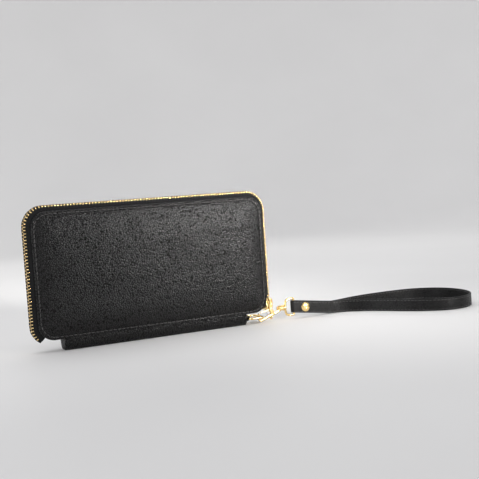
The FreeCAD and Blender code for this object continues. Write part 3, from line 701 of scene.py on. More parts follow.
def cover_tape(side, end_z, name):
    """Woven tape: flat under the leather, then curling outwards to the teeth; a closed section."""
    section = [(-5.4, 6.66), (-1.0, 6.66), (0.6, 6.6), (1.5, 6.1), (2.2, 5.5), (2.75, 4.9), (2.85, 4.4),
               (3.3, 4.0), (4.2, 3.8), (4.6, 3.35), (4.4, 2.8), (3.3, 2.7), (2.6, 3.1), (2.35, 3.8), (2.3, 4.8),
               (1.9, 5.3), (1.2, 5.9), (0.2, 6.1), (-1.0, 6.12), (-5.4, 6.12)]
    profile = spline(section, 4, closed=True)
    base, out = edge_path(end_z)
    run = np.arange(len(base), dtype=float)
    ripple = 0.07 * np.sin(run * 2 * math.pi / 5.3)[:, None] * np.clip(profile[None, :, 0], 0, 1)
    reach = profile[None, :, 0] + ripple
    points = np.zeros((len(base), len(profile), 3))
    points[:, :, 0] = base[:, None, 0] + out[:, None, 0] * reach
    points[:, :, 2] = base[:, None, 1] + out[:, None, 1] * reach
    points[:, :, 1] = side * profile[None, :, 1]
    around = np.append(0, np.cumsum(np.linalg.norm(np.diff(profile, axis=0), axis=1)))
    made = grid_object(name, points, wrap_columns=True, caps=True, u=run, v=around)
    return dress(made, ("front_cover", "back_cover")[side > 0], "zip_tape", paint("zip tape"))


def tooth_shape(deep, wide, thick):
    """One zip tooth: legs that clamp the tape, a narrow neck and a rounded head past the middle."""
    stations = [(-0.36, 0.75, 0.72), (-0.3, 1.0, 0.95), (0.0, 1.05, 1.0), (0.16, 1.0, 1.0),
                (0.27, 0.72, 0.85), (0.62, 0.7, 0.85), (0.8, 0.88, 1.0), (0.95, 0.8, 0.85), (1.02, 0.55, 0.5)]
    ring = oval(8, 3.4)
    return lofted([np.c_[ring[:, 0] * wide * a, np.full(8, deep * at), ring[:, 1] * thick * c]
                   for at, a, c in stations])


def cover_teeth(side, end_z, shift, name):
    """One row of teeth, evenly spaced along the line through their middles."""
    base, out = edge_path(end_z, 0.25)
    middle = base + out * 3.45
    run = np.append(0, np.cumsum(np.linalg.norm(np.diff(middle, axis=0), axis=1)))
    pitch = bpy.context.scene.wallet_zip.pitch
    at = np.arange(shift, run[-1] - (0.6, 2.9)[side > 0], pitch)
    x, z = (np.interp(at, run, middle[:, k]) for k in (0, 1))
    away = unit(np.stack([np.interp(at, run, out[:, k]) for k in (0, 1)], 1))
    count = len(at)
    outward = np.stack([away[:, 0], np.zeros(count), away[:, 1]], 1)
    inward = np.broadcast_to([0.0, -float(side), 0.0], (count, 3))
    along = np.stack([away[:, 1], np.zeros(count), -away[:, 0]], 1)
    origins = np.stack([x, np.full(count, side * 3.0), z], 1)
    points, faces = tooth_shape(3.4, 1.08, 0.5)
    made = repeated(name, points, faces, origins, np.stack([outward, inward, along], 1))
    return dress(made, ("front_cover", "back_cover")[side > 0], "zip_brass", paint("zip metal"))


# ---- inside the covers ----------------------------------------------------------------
def cover_lining(side, name):
    """Cloth lining glued inside the cover, with a turned hem and calm unevenness."""
    room = (COVER_TOP - COVER_BOTTOM) / 2
    columns = [(room, 5.86), (1.4, 5.86), (0.95, 5.8), (0.85, 5.62), (0.95, 5.44), (1.4, 5.36), (2.6, 5.36),
               (3.0, 5.42), (3.4, 5.44)] + [(t, 5.44) for t in np.linspace(5.0, room, 24)]

    def relief(x, z, inset, y):
        return (0.07 * slow_waves(x, z, 13.0, 21) - 0.02) * (inset > 3.2) * (y < 5.6)

    made = shell_over(name, COVER_BORDER, columns, side, relief)
    return made


def leaf_body(name, side, half, low, high, radii, face, thick, seed):
    """A flat leather leaf: rounded edges, a creased line inside them, and a soft bow."""
    room = (high - low) / 2
    back = face + thick
    lift = math.copysign(1.0, thick)
    columns = [(room, back), (0.5, back), (0.12, back - 0.05 * lift), (0.0, (face + back) / 2),
               (0.12, face + 0.05 * lift),
               (0.4, face), (1.2, face), (1.5, face), (1.8, face), (2.1, face)]
    columns += [(t, face) for t in np.linspace(3.2, room, 14)]

    def relief(x, z, inset, y):
        if abs(y - face) > 0.01:
            return np.zeros_like(x)
        line = 0.09 * math.exp(-((inset - 1.5) / 0.2) ** 2)
        seam = 0.1 * np.exp(-(x / 0.5) ** 2) * (inset > 2.0)
        return lift * (line + seam - 0.03 * (slow_waves(x, z, 17.0, seed) - 0.3) * (inset > 2.0))

    border = dict(half=half, low=low, high=high, radii=radii)
    return shell_over(name, border, columns, side, relief, [1 if 2 <= j <= 4 else 0 for j in range(len(columns))],
                      steps=(7, 84, 30))


def card_leaf(side, number, body):
    """One card leaf; the tallest lies against the lining and each next one is lower."""
    front = ("front", "back")[side > 0]
    node = f"{front}_card_leaf_{number}"
    low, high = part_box(node)
    face = min(abs(low.y), abs(high.y)) / MM + 0.03
    made = leaf_body(f"{front}_card_pocket_{number}", side, high.x / MM, low.z / MM, high.z / MM, (1.0, 4.0),
                     face, 0.44, 30 + number)
    dress(made, body, "inner_leather", paint("inner leather"), paint("edge paint"))
    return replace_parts(made, node)


def card_seams(side, body):
    """Three upright seams through the card leaves: at both ends and down the middle."""
    origins = []
    front = ("front", "back")[side > 0]
    tops = [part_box(f"{front}_card_leaf_{k}")[1].z / MM for k in (1, 2, 3, 4)]
    faces = [min(abs(p.y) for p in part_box(f"{front}_card_leaf_{k}")) / MM for k in (1, 2, 3, 4)]
    z = np.arange(16.5, tops[0] - 2, 3.0)
    level = np.array([min([f for f, t in zip(faces, tops) if at < t - 1.2]) for at in z])
    for x in (-77.0, 0.0, 77.0):
        origins.append(np.stack([np.full(len(z), x), side * (level - 0.02), z], 1))
    origins = np.vstack(origins)
    axes = np.array([[0.0, 0.0, 1.0], [1.0, 0.0, 0.0], [0.0, -float(side), 0.0]])
    points, faces_of = stitch_shape(2.2, 0.5, 0.3)
    made = repeated(f"{front}_card_seams", points, faces_of, origins,
                    np.broadcast_to(axes, (len(origins), 3, 3)))
    return dress(made, body, "thread", paint("thread"))


# ---- coin pocket --------------------------------------------------------------------------
def pocket_wall(side, name):
    """One leather wall of the coin pocket."""
    low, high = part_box(name)
    inner, outer = sorted((abs(low.y) / MM, abs(high.y) / MM))
    made = leaf_body(("coin_pocket_front_leather", "coin_pocket_back_leather")[side > 0], side, high.x / MM,
                     low.z / MM, high.z / MM, (3.0, 3.0), outer, inner - outer, 50 + side)
    dress(made, "coin_pocket", "inner_leather", paint("inner leather"), paint("edge paint"))
    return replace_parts(made, name)


def along_x(name, section, x0, x1, step, per_run=4, waves=0.0):
    """A closed (y, z) section, its corners eased, carried along X with closed ends."""
    profile = spline(section, per_run, closed=True)
    x = np.linspace(x0, x1, int((x1 - x0) / step) + 1)
    points = np.zeros((len(x), len(profile), 3))
    points[:, :, 0] = x[:, None]
    points[:, :, 1] = profile[None, :, 0]
    points[:, :, 2] = profile[None, :, 1]
    if waves:
        points[:, :, 1] += waves * slow_waves(points[:, :, 0], points[:, :, 2], 19.0, 77)
    around = np.append(0, np.cumsum(np.linalg.norm(np.diff(profile, axis=0), axis=1)))
    return grid_object(name, points, wrap_columns=True, caps=True, u=x - x0, v=around)


def coin_tape(side, name):
    """The coin zip's tape: out of the wall's top edge, and back over to the teeth."""
    section = [(1.45, 80.1), (1.95, 80.3), (3.1, 82.2), (4.05, 83.4), (4.05, 85.3), (3.2, 85.65), (1.75, 85.85),
               (1.75, 86.2), (3.3, 86.05), (4.4, 85.75), (4.4, 83.2), (3.4, 81.7), (2.35, 80.1), (1.9, 79.9)]
    section = [(side * y, z) for y, z in section]
    low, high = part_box(name)
    made = along_x(name.replace("coin_zip", "coin_pocket").replace("tape", "zip_tape"), section,
                   low.x / MM, high.x / MM, 2.0)
    dress(made, "coin_pocket", "zip_tape", paint("zip tape"))
    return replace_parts(made, name)


def gusset(cover, end):
    """A soft leather side fold: a V from the pocket wall to the cover's lining, narrower at its foot."""
    side = (-1, 1)[cover == "back"]
    hand = (-1, 1)[end == "right"]
    low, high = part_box(f"{cover}_{end}_gusset")
    z = np.linspace(low.z / MM - 6.5, high.z / MM, 40)
    share = np.linspace(0, 1, 33)
    fold = 1 - np.abs(2 * share - 1)
    reach = 6.4 * (0.72 + 0.28 * np.linspace(0, 1, 40)) ** 1.0
    soft = np.sqrt(fold ** 2 + 0.004) - math.sqrt(0.004)
    below = np.clip(COVER_BOTTOM + BOTTOM_CORNER - z, 0, None)
    edge = np.minimum(90.6, 81.9 + np.sqrt(BOTTOM_CORNER ** 2 - below ** 2))
    x = edge[:, None] - reach[:, None] * soft[None, :] - 4.4 * (1 - share)[None, :]
    y = 2.15 + (5.05 - 2.15) * share
    points = np.zeros((40, 33, 3))
    points[:, :, 0] = hand * x
    points[:, :, 1] = side * (y[None, :] + 0.05 * np.sin(z / 5.0)[:, None] * fold[None, :])
    points[:, :, 2] = z[:, None]
    made = grid_object(f"{cover}_{end}_side_fold", points, u=z, v=share * 15)
    thick = made.modifiers.new("Thickness", "SOLIDIFY")
    thick.thickness = 0.0004
    thick.offset = 0.0
    dress(made, None, "inner_leather", paint("inner leather"))
    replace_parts(made, f"{cover}_{end}_gusset")
    ends = [(0, side * 2.2 * MM, 0.05), (0, side * 5.0 * MM, 0.05)]
    if cover == "back":
        ends.reverse()
    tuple(ends[0])
    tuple(ends[1])
    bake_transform(made)
    return made


# ---- spine --------------------------------------------------------------------------------
def spine_band():
    """The leather band under both covers: a rounded trough along X, standing on its flat underside."""
    section = [(8.0, 8.9), (8.02, 7.6), (7.75, 5.6), (6.9, 3.0), (5.5, 0.95), (3.9, 0.0), (3.0, 0.0), (0.0, 0.0),
               (-3.0, 0.0), (-3.9, 0.0), (-5.5, 0.95), (-6.9, 3.0), (-7.75, 5.6), (-8.02, 7.6), (-8.0, 8.9),
               (-7.3, 8.92), (-6.65, 8.85), (-6.5, 7.2), (-5.7, 4.2), (-4.3, 1.9), (-2.9, 1.4), (0.0, 1.4),
               (2.9, 1.4), (4.3, 1.9), (5.7, 4.2), (6.5, 7.2), (6.65, 8.85), (7.3, 8.92)]
    profile = spline(section, 4, closed=True)
    low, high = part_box("spine")
    half = high.x / MM
    x = np.concatenate([[-half], -half + np.array([0.15, 0.45, 1.0]), np.linspace(-half + 2, half - 2, 150),
                        half - np.array([1.0, 0.45, 0.15]), [half]])
    shrink = np.interp(half - np.abs(x), [0, 0.15, 0.45, 1.0], [0.35, 0.14, 0.03, 0.0])
    ahead = np.roll(profile, -1, 0) - np.roll(profile, 1, 0)
    out = unit(np.stack([ahead[:, 1], -ahead[:, 0]], 1))
    area = (profile[:, 0] * np.roll(profile[:, 1], -1) - np.roll(profile[:, 0], -1) * profile[:, 1]).sum()
    out = out if area > 0 else -out
    points = np.zeros((len(x), len(profile), 3))
    points[:, :, 0] = x[:, None]
    points[:, :, 1] = profile[None, :, 0] - out[None, :, 0] * shrink[:, None]
    points[:, :, 2] = profile[None, :, 1] - out[None, :, 1] * shrink[:, None]
    waves = 0.12 * slow_waves(points[:, :, 0], points[:, :, 2], 17.0, 13)
    swell = np.clip(points[:, :, 2] / 2.0, 0, 1) * np.clip((8.6 - points[:, :, 2]) / 2, 0, 1)
    points[:, :, 1] += waves * swell * np.sign(points[:, :, 1])
    made = grid_object("spine_leather_band", points, wrap_columns=True, caps=True, u=x,
                       v=np.arange(len(profile)) * 0.5, column_material=np.zeros(len(profile), int))
    dress(made, "back_cover", "spine_leather", paint("spine leather"), paint("edge paint"))
    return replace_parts(made, "spine")


def spine_end(side, name):
    """A leather plug that closes one end of the trough: its own rounded section, eased at the rim."""
    section = [(6.5, 8.75), (6.4, 7.2), (5.6, 4.2), (4.2, 1.9), (2.8, 1.3), (0.0, 1.3), (-2.8, 1.3), (-4.2, 1.9),
               (-5.6, 4.2), (-6.4, 7.2), (-6.5, 8.75), (0.0, 8.85)]
    outline = spline(section, 6, closed=True)
    middle = np.array([0.0, 5.0])
    stations = [(73.4, 1.0), (74.5, 1.0), (74.85, 0.97), (75.05, 0.9), (75.15, 0.78), (75.2, 0.4), (75.21, 0.05)]
    rings = []
    for x, size in stations:
        ring = middle + (outline - middle) * size
        rings.append(np.c_[np.full(len(ring), side * x), ring])
    made = grid_object(name, np.array(rings), wrap_columns=True, caps=True)
    return dress(made, "back_cover", "spine_leather", paint("spine leather"))


def crease_roll(side, body):
    """A slim rolled fold of leather on the crease line, where a cover meets the spine."""
    x = np.linspace(-74.6, 74.6, 160)
    path = np.stack([x, np.full_like(x, side * 7.55), 9.0 + 0.05 * np.sin(x / 7.0)], 1)
    size = 0.62 * np.sqrt(np.clip((74.7 - np.abs(x)) / 0.8, 0.05, 1))
    points = rod(path, np.stack([size, size], 1), (0, 1, 0), 14)
    made = grid_object(("front_crease_fold", "back_crease_fold")[side > 0], points, wrap_columns=True, caps=True,
                       u=x, v=np.arange(14.0))
    return dress(made, body, "spine_leather", paint("spine leather"), paint("spine leather"))


def spine_cloth():
    """The spine's cloth lining, a soft trough just inside the leather."""
    outer = [(6.35, 8.5), (6.2, 7.0), (5.45, 4.5), (4.2, 2.2), (2.8, 1.5), (0.0, 1.47)]
    inner = [(0.0, 1.9), (2.6, 1.93), (3.8, 2.6), (5.0, 4.8), (5.75, 7.1), (5.95, 8.5)]
    half_section = outer + inner
    section = half_section[6:][::-1] + [(-y, z) for y, z in half_section[7:]]
    section += [(-y, z) for y, z in outer] + outer[::-1][1:]
    made = along_x("spine_cloth_lining", section, -73.9, 73.9, 2.0, 3)
    dress(made, "back_cover", "lining_cloth", paint("lining cloth"))
    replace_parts(made, "spine_lining")
    return made


def tab_loop():
    """The leather loop that holds the ring: a strip led round the ring's straight side."""
    a = np.radians(np.linspace(90, -90, 19))
    bend = np.stack([77.5 + 1.72 * np.cos(a), np.zeros(19), 5.0 + 1.72 * np.sin(a)], 1)
    top = np.stack([np.linspace(66.2, 77.0, 14), np.zeros(14), np.full(14, 6.72)], 1)
    bottom = top[::-1] * [1, 1, 0] + [0, 0, 3.28]
    path = np.vstack([top, bend, bottom])
    points = rod(path, (3.35, 0.52), (0, 1, 0), 20, 6.0)
    made = grid_object("ring_tab_loop", points, wrap_columns=True, caps=True)
    dress(made, "back_cover", "spine_leather", paint("inner leather"), paint("edge paint"))
    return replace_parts(made, "ring_tab")


# ---- metal hardware -------------------------------------------------------------------------
def turned(profile, origin, axis, count=32):
    """A closed (along, radius) profile turned round an axis through origin: (points, faces)."""
    axis = unit(np.asarray(axis, float))
    side = unit(np.cross(axis, [0.31, 0.2, 0.93]))
    other = np.cross(axis, side)
    a = np.linspace(0, 2 * math.pi, count, endpoint=False)
    profile = np.asarray(profile, float)
    spoke = side[None] * np.cos(a)[:, None] + other[None] * np.sin(a)[:, None]
    points = (np.asarray(origin, float) + axis * profile[None, :, :1]
              + spoke[:, None, :] * profile[None, :, 1:])
    faces = grid_faces(count, len(profile), wrap_rows=True, wrap_columns=True)[0]
    return points.reshape(-1, 3), list(faces)


def bar(path, sizes, across, count=14, power=2.6, closed=False, round_ends=True):
    """(points, faces) of a smooth bar; open bars get rounded ends."""
    path = np.asarray(path, float)
    sizes = np.broadcast_to(np.asarray(sizes, float), (len(path), 2))
    if closed:
        points = rod(path, sizes, across, count, power, closed=True)
        return points.reshape(-1, 3), list(grid_faces(len(path), count, True, True)[0])
    if round_ends:
        path, sizes = rounded_ends(path, sizes)
    return lofted(rod(path, sizes, across, count, power))


def plate(outline, low, high, edge, place):
    """(points, faces) of a plate with eased rims; place turns local X, Y and height into the frame."""
    points, faces = lofted(slab_rings(np.asarray(outline, float), low, high, edge))
    return place(points), faces


def spine_ring():
    """The rectangular ring: a round wire with rounded corners, lying level."""
    low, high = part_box("spine_ring")
    hinge_x, end_x = 77.5, 89.5
    outline = rounded_box(end_x - hinge_x, 16.4, 2.4, 9) + [(hinge_x + end_x) / 2, 0]
    path, _ = evenly(np.vstack([outline, outline[:1]]), 0.7)
    path = np.c_[path[:-1], np.full(len(path) - 1, (low.z + high.z) / 2 / MM)]
    points, faces = bar(path, (0.97, 0.97), (0, 0, 1), 16, 2.0, closed=True)
    made = joined("square_ring", [(points, faces)])
    dress(made, "ring", "gold_metal", paint("gold"))
    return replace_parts(made, "spine_ring")


def in_clip_plane(points):
    """Local X stays X, local Y becomes height, and local height becomes depth."""
    return np.stack([points[:, 0], CLIP_Y + points[:, 2], points[:, 1]], 1)


def clip_body():
    """The clip's body: a hooked bar that thins to its nose, two ears and the swivel's barrel."""
    line = spline([(86.7, 7.5), (86.7, 5.2), (86.65, 2.9), (87.7, 1.85), (89.4, 2.3), (93.0, 3.63),
                   (99.0, 5.86), (105.0, 8.1), (106.6, 8.7)], 8)
    path = np.stack([line[:, 0], np.full(len(line), CLIP_Y), line[:, 1]], 1)
    run = np.linspace(0, 1, len(path))
    thick = np.interp(run, [0, 0.2, 0.42, 0.6, 1.0], [0.66, 0.78, 0.95, 1.1, 1.05])
    parts = [bar(path, np.stack([np.full(len(path), 0.95), thick], 1), (0, 1, 0), 16, 2.6)]
    ear = spline([(99.9, 6.3), (101.2, 6.6), (100.6, 8.4), (99.3, 10.5), (98.4, 11.9), (96.6, 11.8), (96.0, 10.2),
                  (97.0, 8.2), (98.4, 6.2)], 4, closed=True)
    for y in (-1.05, 0.62):
        parts.append(plate(ear, y, y + 0.43, 0.12, in_clip_plane))
    barrel = [(-2.4, 1.3), (-2.4, 1.9), (-2.2, 2.3), (-1.5, 2.4), (-1.2, 2.12), (0.7, 2.12), (1.0, 2.4), (1.9, 2.4),
              (2.2, 2.2), (2.3, 1.8), (2.3, 1.3)]
    parts.append(turned(barrel, (107.9, CLIP_Y, SWIVEL_Z), (1, 0, 0)))
    made = joined("clip_body", parts)
    dress(made, "hook", "gold_metal", paint("gold"))
    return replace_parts(made, "hook_body")


def clip_gate():
    """The sprung gate with its thumb lever, both tapering from the pivot."""
    low = np.array([(88.7, 8.62), (91.0, 9.0), (94.0, 9.6), (97.6, 10.3)])
    path = np.stack([low[:, 0], np.full(4, CLIP_Y), low[:, 1]], 1)
    parts = [bar(path, [(0.45, 0.55), (0.45, 0.62), (0.45, 0.7), (0.45, 0.85)], (0, 1, 0), 14, 2.6)]
    high = spline([(97.6, 10.3), (97.4, 12.2), (96.6, 14.4), (95.9, 16.6)], 5)
    lever = np.stack([high[:, 0], np.full(len(high), CLIP_Y), high[:, 1]], 1)
    size = np.linspace(0.85, 0.42, len(lever))
    parts.append(bar(lever, np.stack([np.full(len(lever), 0.45), size], 1), (0, 1, 0), 14, 2.6))
    boss = [(-0.5, 0.66), (-0.5, 1.2), (-0.38, 1.38), (0.38, 1.38), (0.5, 1.2), (0.5, 0.66)]
    parts.append(turned(boss, (97.6, CLIP_Y, 10.3), (0, 1, 0), 24))
    made = joined("clip_gate", parts)
    dress(made, "gate", "gold_metal", paint("gold"))
    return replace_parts(made, "hook_gate")


def gate_pin_and_spring():
    """The gate's pin with peened ends, and the small coil that pushes the gate shut."""
    pin = [(-1.28, 0.001), (-1.28, 0.35), (-1.15, 0.57), (1.15, 0.57), (1.28, 0.35), (1.28, 0.001)]
    made = joined("gate_pivot_pin", [turned(pin, (97.6, CLIP_Y, 10.3), (0, 1, 0), 20)])
    dress(made, "hook", "spring_steel", paint("steel"))
    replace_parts(made, "gate_pin")
    turns = np.linspace(0, 6.5 * 2 * math.pi, 150)
    coil = np.stack([94.4 + 0.38 * np.cos(turns), CLIP_Y + 0.38 * np.sin(turns),
                     5.78 + 2.95 * turns / turns[-1]], 1)
    spring = joined("gate_coil_spring", [bar(coil, (0.11, 0.11), (0, 0, 1), 6, 2.0)])
    dress(spring, "hook", "spring_steel", paint("steel"))
    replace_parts(spring, "gate_spring")
    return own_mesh(spring)


def swivel_eye():
    """The eye: a round wire bent to a D that the strap folds through, and its turning post."""
    low, high = SWIVEL_Z - 6.8, SWIVEL_Z + 6.8
    outline = spline([(119.6, SWIVEL_Z), (119.6, high - 1.6), (119.5, high - 0.1), (118.2, high), (115.6, high),
                      (112.6, high - 0.7), (111.7, high - 3.6), (111.6, SWIVEL_Z), (111.7, low + 3.6),
                      (112.6, low + 0.7), (115.6, low), (118.2, low), (119.5, low + 0.1), (119.6, low + 1.6)],
                     6, closed=True)
    path = np.stack([outline[:, 0], np.full(len(outline), CLIP_Y), outline[:, 1]], 1)
    parts = [bar(path, (0.93, 0.93), (0, 1, 0), 16, 2.0, closed=True)]
    post = [(-3.9, 0.001), (-3.9, 1.3), (-3.6, 1.75), (-2.9, 1.75), (-2.6, 1.18), (2.5, 1.18), (2.9, 1.6), (3.6, 1.75),
            (4.2, 1.4), (4.2, 0.001)]
    parts.append(turned(post, (107.9, CLIP_Y, SWIVEL_Z), (1, 0, 0), 28))
    made = joined("strap_eye", parts)
    dress(made, "swivel", "gold_metal", paint("gold"))
    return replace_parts(made, "swivel_eye")


def slider(name, length, half, inner, outer, root, post_side, place):
    """A zip slider: two shouldered plates, their side rims, the wedge post and the puller's bridge."""
    k = post_side
    outline = spline([(-k * length / 2, 0), (-k * length / 2, -half * 0.78), (-k * length / 4, -half * 0.84),
                      (k * length * 0.2, -half * 1.02), (k * length / 2, -half), (k * length / 2, -half * 0.55),
                      (k * length * 0.44, 0), (k * length / 2, half * 0.55), (k * length / 2, half),
                      (k * length * 0.2, half * 1.02), (-k * length / 4, half * 0.84),
                      (-k * length / 2, half * 0.78)], 5, closed=True)
    outline = np.clip(outline, [-length / 2, -half], [length / 2, half])
    top = outer + 1.1
    parts = [plate(outline, outer + 0.3, top, 0.24, place), plate(outline, inner - 1.1, inner - 0.3, 0.24, place)]
    for side in (-1, 1):
        for low, high in ((outer - 0.75, outer + 0.6), (inner - 0.6, inner + 0.25)):
            y = side * (root + half + 0.35) / 2
            run = np.stack([np.linspace(-length * 0.42, length * 0.42, 6), np.full(6, y),
                            np.full(6, (low + high) / 2)], 1)
            points, faces = bar(run, ((half - root) / 2 - 0.18, (high - low) / 2), (0, 1, 0), 12, 4.0)
            parts.append((place(points), faces))
    wedge = rounded_box(2.0, 0.7, 0.3, 4) + [k * (length / 2 - 1.1), 0]
    parts.append(plate(wedge, inner - 0.4, outer + 0.4, 0.05, place))
    arch = spline([(-3.7, top - 0.1), (-3.7, top + 2.2), (-2.9, top + 2.75), (0, top + 2.75), (2.9, top + 2.75),
                   (3.7, top + 2.2), (3.7, top - 0.1)], 6)
    path = np.stack([arch[:, 0], np.zeros(len(arch)), arch[:, 1]], 1)
    points, faces = bar(path, (0.8, 0.42), (0, 1, 0), 14, 3.0, round_ends=False)
    parts.append((place(points), faces))
    return joined(name, parts)


def puller(name, height, length, half, place):
    """A zip puller: a flat loop round the slider's bridge, a waisted tab and an eyelet at its end."""
    loop = rounded_box(5.9, 2 * half - 1.1, 1.1, 7) + [-2.4, 0]
    ring = evenly(np.vstack([loop, loop[:1]]), 0.45)[0][:-1]
    path = np.c_[ring, np.full(len(ring), height)]
    parts = [bar(path, (0.5, 0.5), (0, 0, 1), 12, 3.4, closed=True)]
    tab = spline([(-5.2, 1.5), (-6.4, 1.25), (-8.2, 1.05), (-length + 4.1, 1.1), (-length + 3.6, 0.9),
                  (-length + 3.6, -0.9), (-length + 4.1, -1.1), (-8.2, -1.05), (-6.4, -1.25), (-5.2, -1.5)], 4,
                 closed=True)
    parts.append(plate(tab, height - 0.5, height + 0.5, 0.22, lambda p: p))
    a = np.linspace(0, 2 * math.pi, 40, endpoint=False)
    eyelet = np.stack([-length + 2.4 + 1.5 * np.cos(a), 1.5 * np.sin(a), np.full(40, height)], 1)
    parts.append(bar(eyelet, (0.5, 0.55), (0, 0, 1), 12, 3.0, closed=True))
    return joined(name, [(place(points), faces) for points, faces in parts])


def on_side(points):
    """Puts a part made on a chain along X onto the wallet's right-hand side."""
    return np.stack([HALF_WIDTH + points[:, 2], -points[:, 1], 14.6 + points[:, 0]], 1)


def on_pocket(points):
    """Puts a part made on a chain along X onto the coin pocket's zip."""
    return points + [66.0, 0.0, 0.0]


# ---- wrist strap ------------------------------------------------------------------------------
STRAP_WIDTH = 10.3
STRAP_THICK = 1.5
STRAP_LIFT = 5.0
LIFT_START_X = 158.0
EYE_BAR_X = 119.6
RIVET_X = 129.5


def lift_at(x):
    """How far the band's lower edge stands above the ground, near the eye."""
    return STRAP_LIFT * np.clip((LIFT_START_X - x) / (LIFT_START_X - EYE_BAR_X), 0, 1.1)


def strap_line():
    """The band's middle line seen from above: tail, fold round the eye, loop, and back to the fold."""
    route = [(157, -7.3), (140, -7.3), (121.6, -7.3), (117.7, -7.3), (117.7, -3.7), (121.6, -3.7), (140, -3.7),
             (159, -3.3), (186, 6.5), (216, 10.0), (249, 8.0), (269, -9), (273.3, -34), (265, -58), (246, -72.3),
             (224, -69.6), (204, -49), (186, -22), (167, -6.2), (150, -5.5), (136, -5.5), (123, -5.5)]
    line, run = evenly(spline(route, 24), 0.75)
    return line, run


def strap_section():
    """(across, thickness) round the band: softly bulged faces, pressed crease lines and round edges."""
    half, thick = STRAP_WIDTH / 2, STRAP_THICK / 2
    w = np.concatenate([np.linspace(-half + 0.4, -half + 2.4, 11), np.linspace(-half + 3.0, half - 3.0, 9),
                        np.linspace(half - 2.4, half - 0.4, 11)])
    inset = half - np.abs(w)
    t = thick - 0.02 - 0.08 * np.exp(-((inset - 1.35) / 0.32) ** 2) - 0.05 * (1 - np.clip(inset / 4, 0, 1))
    a = np.radians(np.linspace(0, 180, 9))[1:-1]
    edge_w, edge_t = half - 0.4 + 0.4 * np.sin(a), t[0] * np.cos(a)
    front = np.stack([w, t], 1)
    high_edge = np.stack([edge_w, edge_t], 1)
    back = np.stack([w[::-1], -t], 1)
    low_edge = np.stack([-edge_w, -edge_t], 1)
    section = np.vstack([front, high_edge, back, low_edge])
    painted = np.r_[np.zeros(30, int), np.ones(8, int), np.zeros(30, int), np.ones(8, int)]
    return section, painted


def strap_band():
    """The leather band on its edge, carried along its line; its outer tail is rounded."""
    line, run = strap_line()
    ahead = unit(np.gradient(line, axis=0))
    left = np.stack([-ahead[:, 1], ahead[:, 0]], 1)
    section, painted = strap_section()
    half = STRAP_WIDTH / 2
    tail = np.sqrt(np.clip(1 - ((half - run) / half) ** 2, 0.01, 1))
    tail[run > half] = 1.0
    middle = half + lift_at(line[:, 0])
    points = np.zeros((len(line), len(section), 3))
    points[:, :, 0] = line[:, None, 0] + left[:, None, 0] * section[None, :, 1]
    points[:, :, 1] = line[:, None, 1] + left[:, None, 1] * section[None, :, 1]
    points[:, :, 2] = middle[:, None] + section[None, :, 0] * tail[:, None]
    made = grid_object("wrist_strap_band", points, wrap_columns=True, caps=True, u=run / 3.0,
                       v=half - np.abs(section[:, 0]), column_material=painted)
    dress(made, "strap", "strap_leather", paint("strap leather"), paint("strap edge"))
    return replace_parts(made, "wrist_strap")


def strap_stitches():
    """Fine stitches in both crease lines, on both faces of the band."""
    line, run = strap_line()
    ahead = unit(np.gradient(line, axis=0))
    at = np.arange(3.0, run[-1] - 3.0, 3.0) + 1.5
    here = np.stack([np.interp(at, run, line[:, k]) for k in (0, 1)], 1)
    go = unit(np.stack([np.interp(at, run, ahead[:, k]) for k in (0, 1)], 1))
    flat = np.zeros(len(at))
    along = np.stack([go[:, 0], go[:, 1], flat], 1)
    out = np.stack([-go[:, 1], go[:, 0], flat], 1)
    up = np.broadcast_to([0.0, 0.0, 1.0], along.shape)
    middle = STRAP_WIDTH / 2 + lift_at(here[:, 0])
    origins, axes = [], []
    for face in (-1, 1):
        for edge in (-1, 1):
            place = np.c_[here, middle + edge * (STRAP_WIDTH / 2 - 1.35)] + out * face * (STRAP_THICK / 2 - 0.09)
            origins.append(place)
            axes.append(np.stack([along, up, out * face], 1))
    points, faces = stitch_shape(2.3, 0.46, 0.24)
    made = repeated("wrist_strap_stitches", points, faces, np.vstack(origins), np.vstack(axes))
    return dress(made, "strap", "thread", paint("thread"))


def rivet():
    """The domed rivet head with a rolled rim, and the flat back head on its post."""
    z = STRAP_WIDTH / 2 + float(lift_at(RIVET_X))
    dome = [(0.0, 0.001), (0.0, 3.6), (0.1, 3.93), (0.34, 4.0), (0.58, 3.86), (0.72, 3.6), (1.02, 3.0),
            (1.3, 2.2), (1.47, 1.2), (1.53, 0.001)]
    cap = joined("rivet_dome", [turned(dome, (RIVET_X, -8.06, z), (0, -1, 0), 48)])
    dress(cap, "strap", "gold_metal", paint("gold"))
    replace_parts(cap, "rivet_cap")
    back = [(-5.2, 0.001), (-5.2, 1.38), (0.0, 1.38), (0.0, 3.3), (0.15, 3.55), (0.5, 3.55), (0.72, 3.2), (0.78, 0.9),
            (0.7, 0.001)]
    foot = joined("rivet_foot", [turned(back, (RIVET_X, -2.95, z), (0, 1, 0), 40)])
    dress(foot, "strap", "gold_metal", paint("gold"))
    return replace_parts(foot, "rivet_back")


# ---- stage --------------------------------------------------------------------------------------
CAMERA_PLACE = (-0.23283, -0.65178, 0.11115)
CAMERA_RIGHT = (0.8997, -0.4312, -0.0675)
CAMERA_DOWN = (-0.0855, -0.0225, -0.9961)
CAMERA_AHEAD = (0.4280, 0.9020, -0.0571)


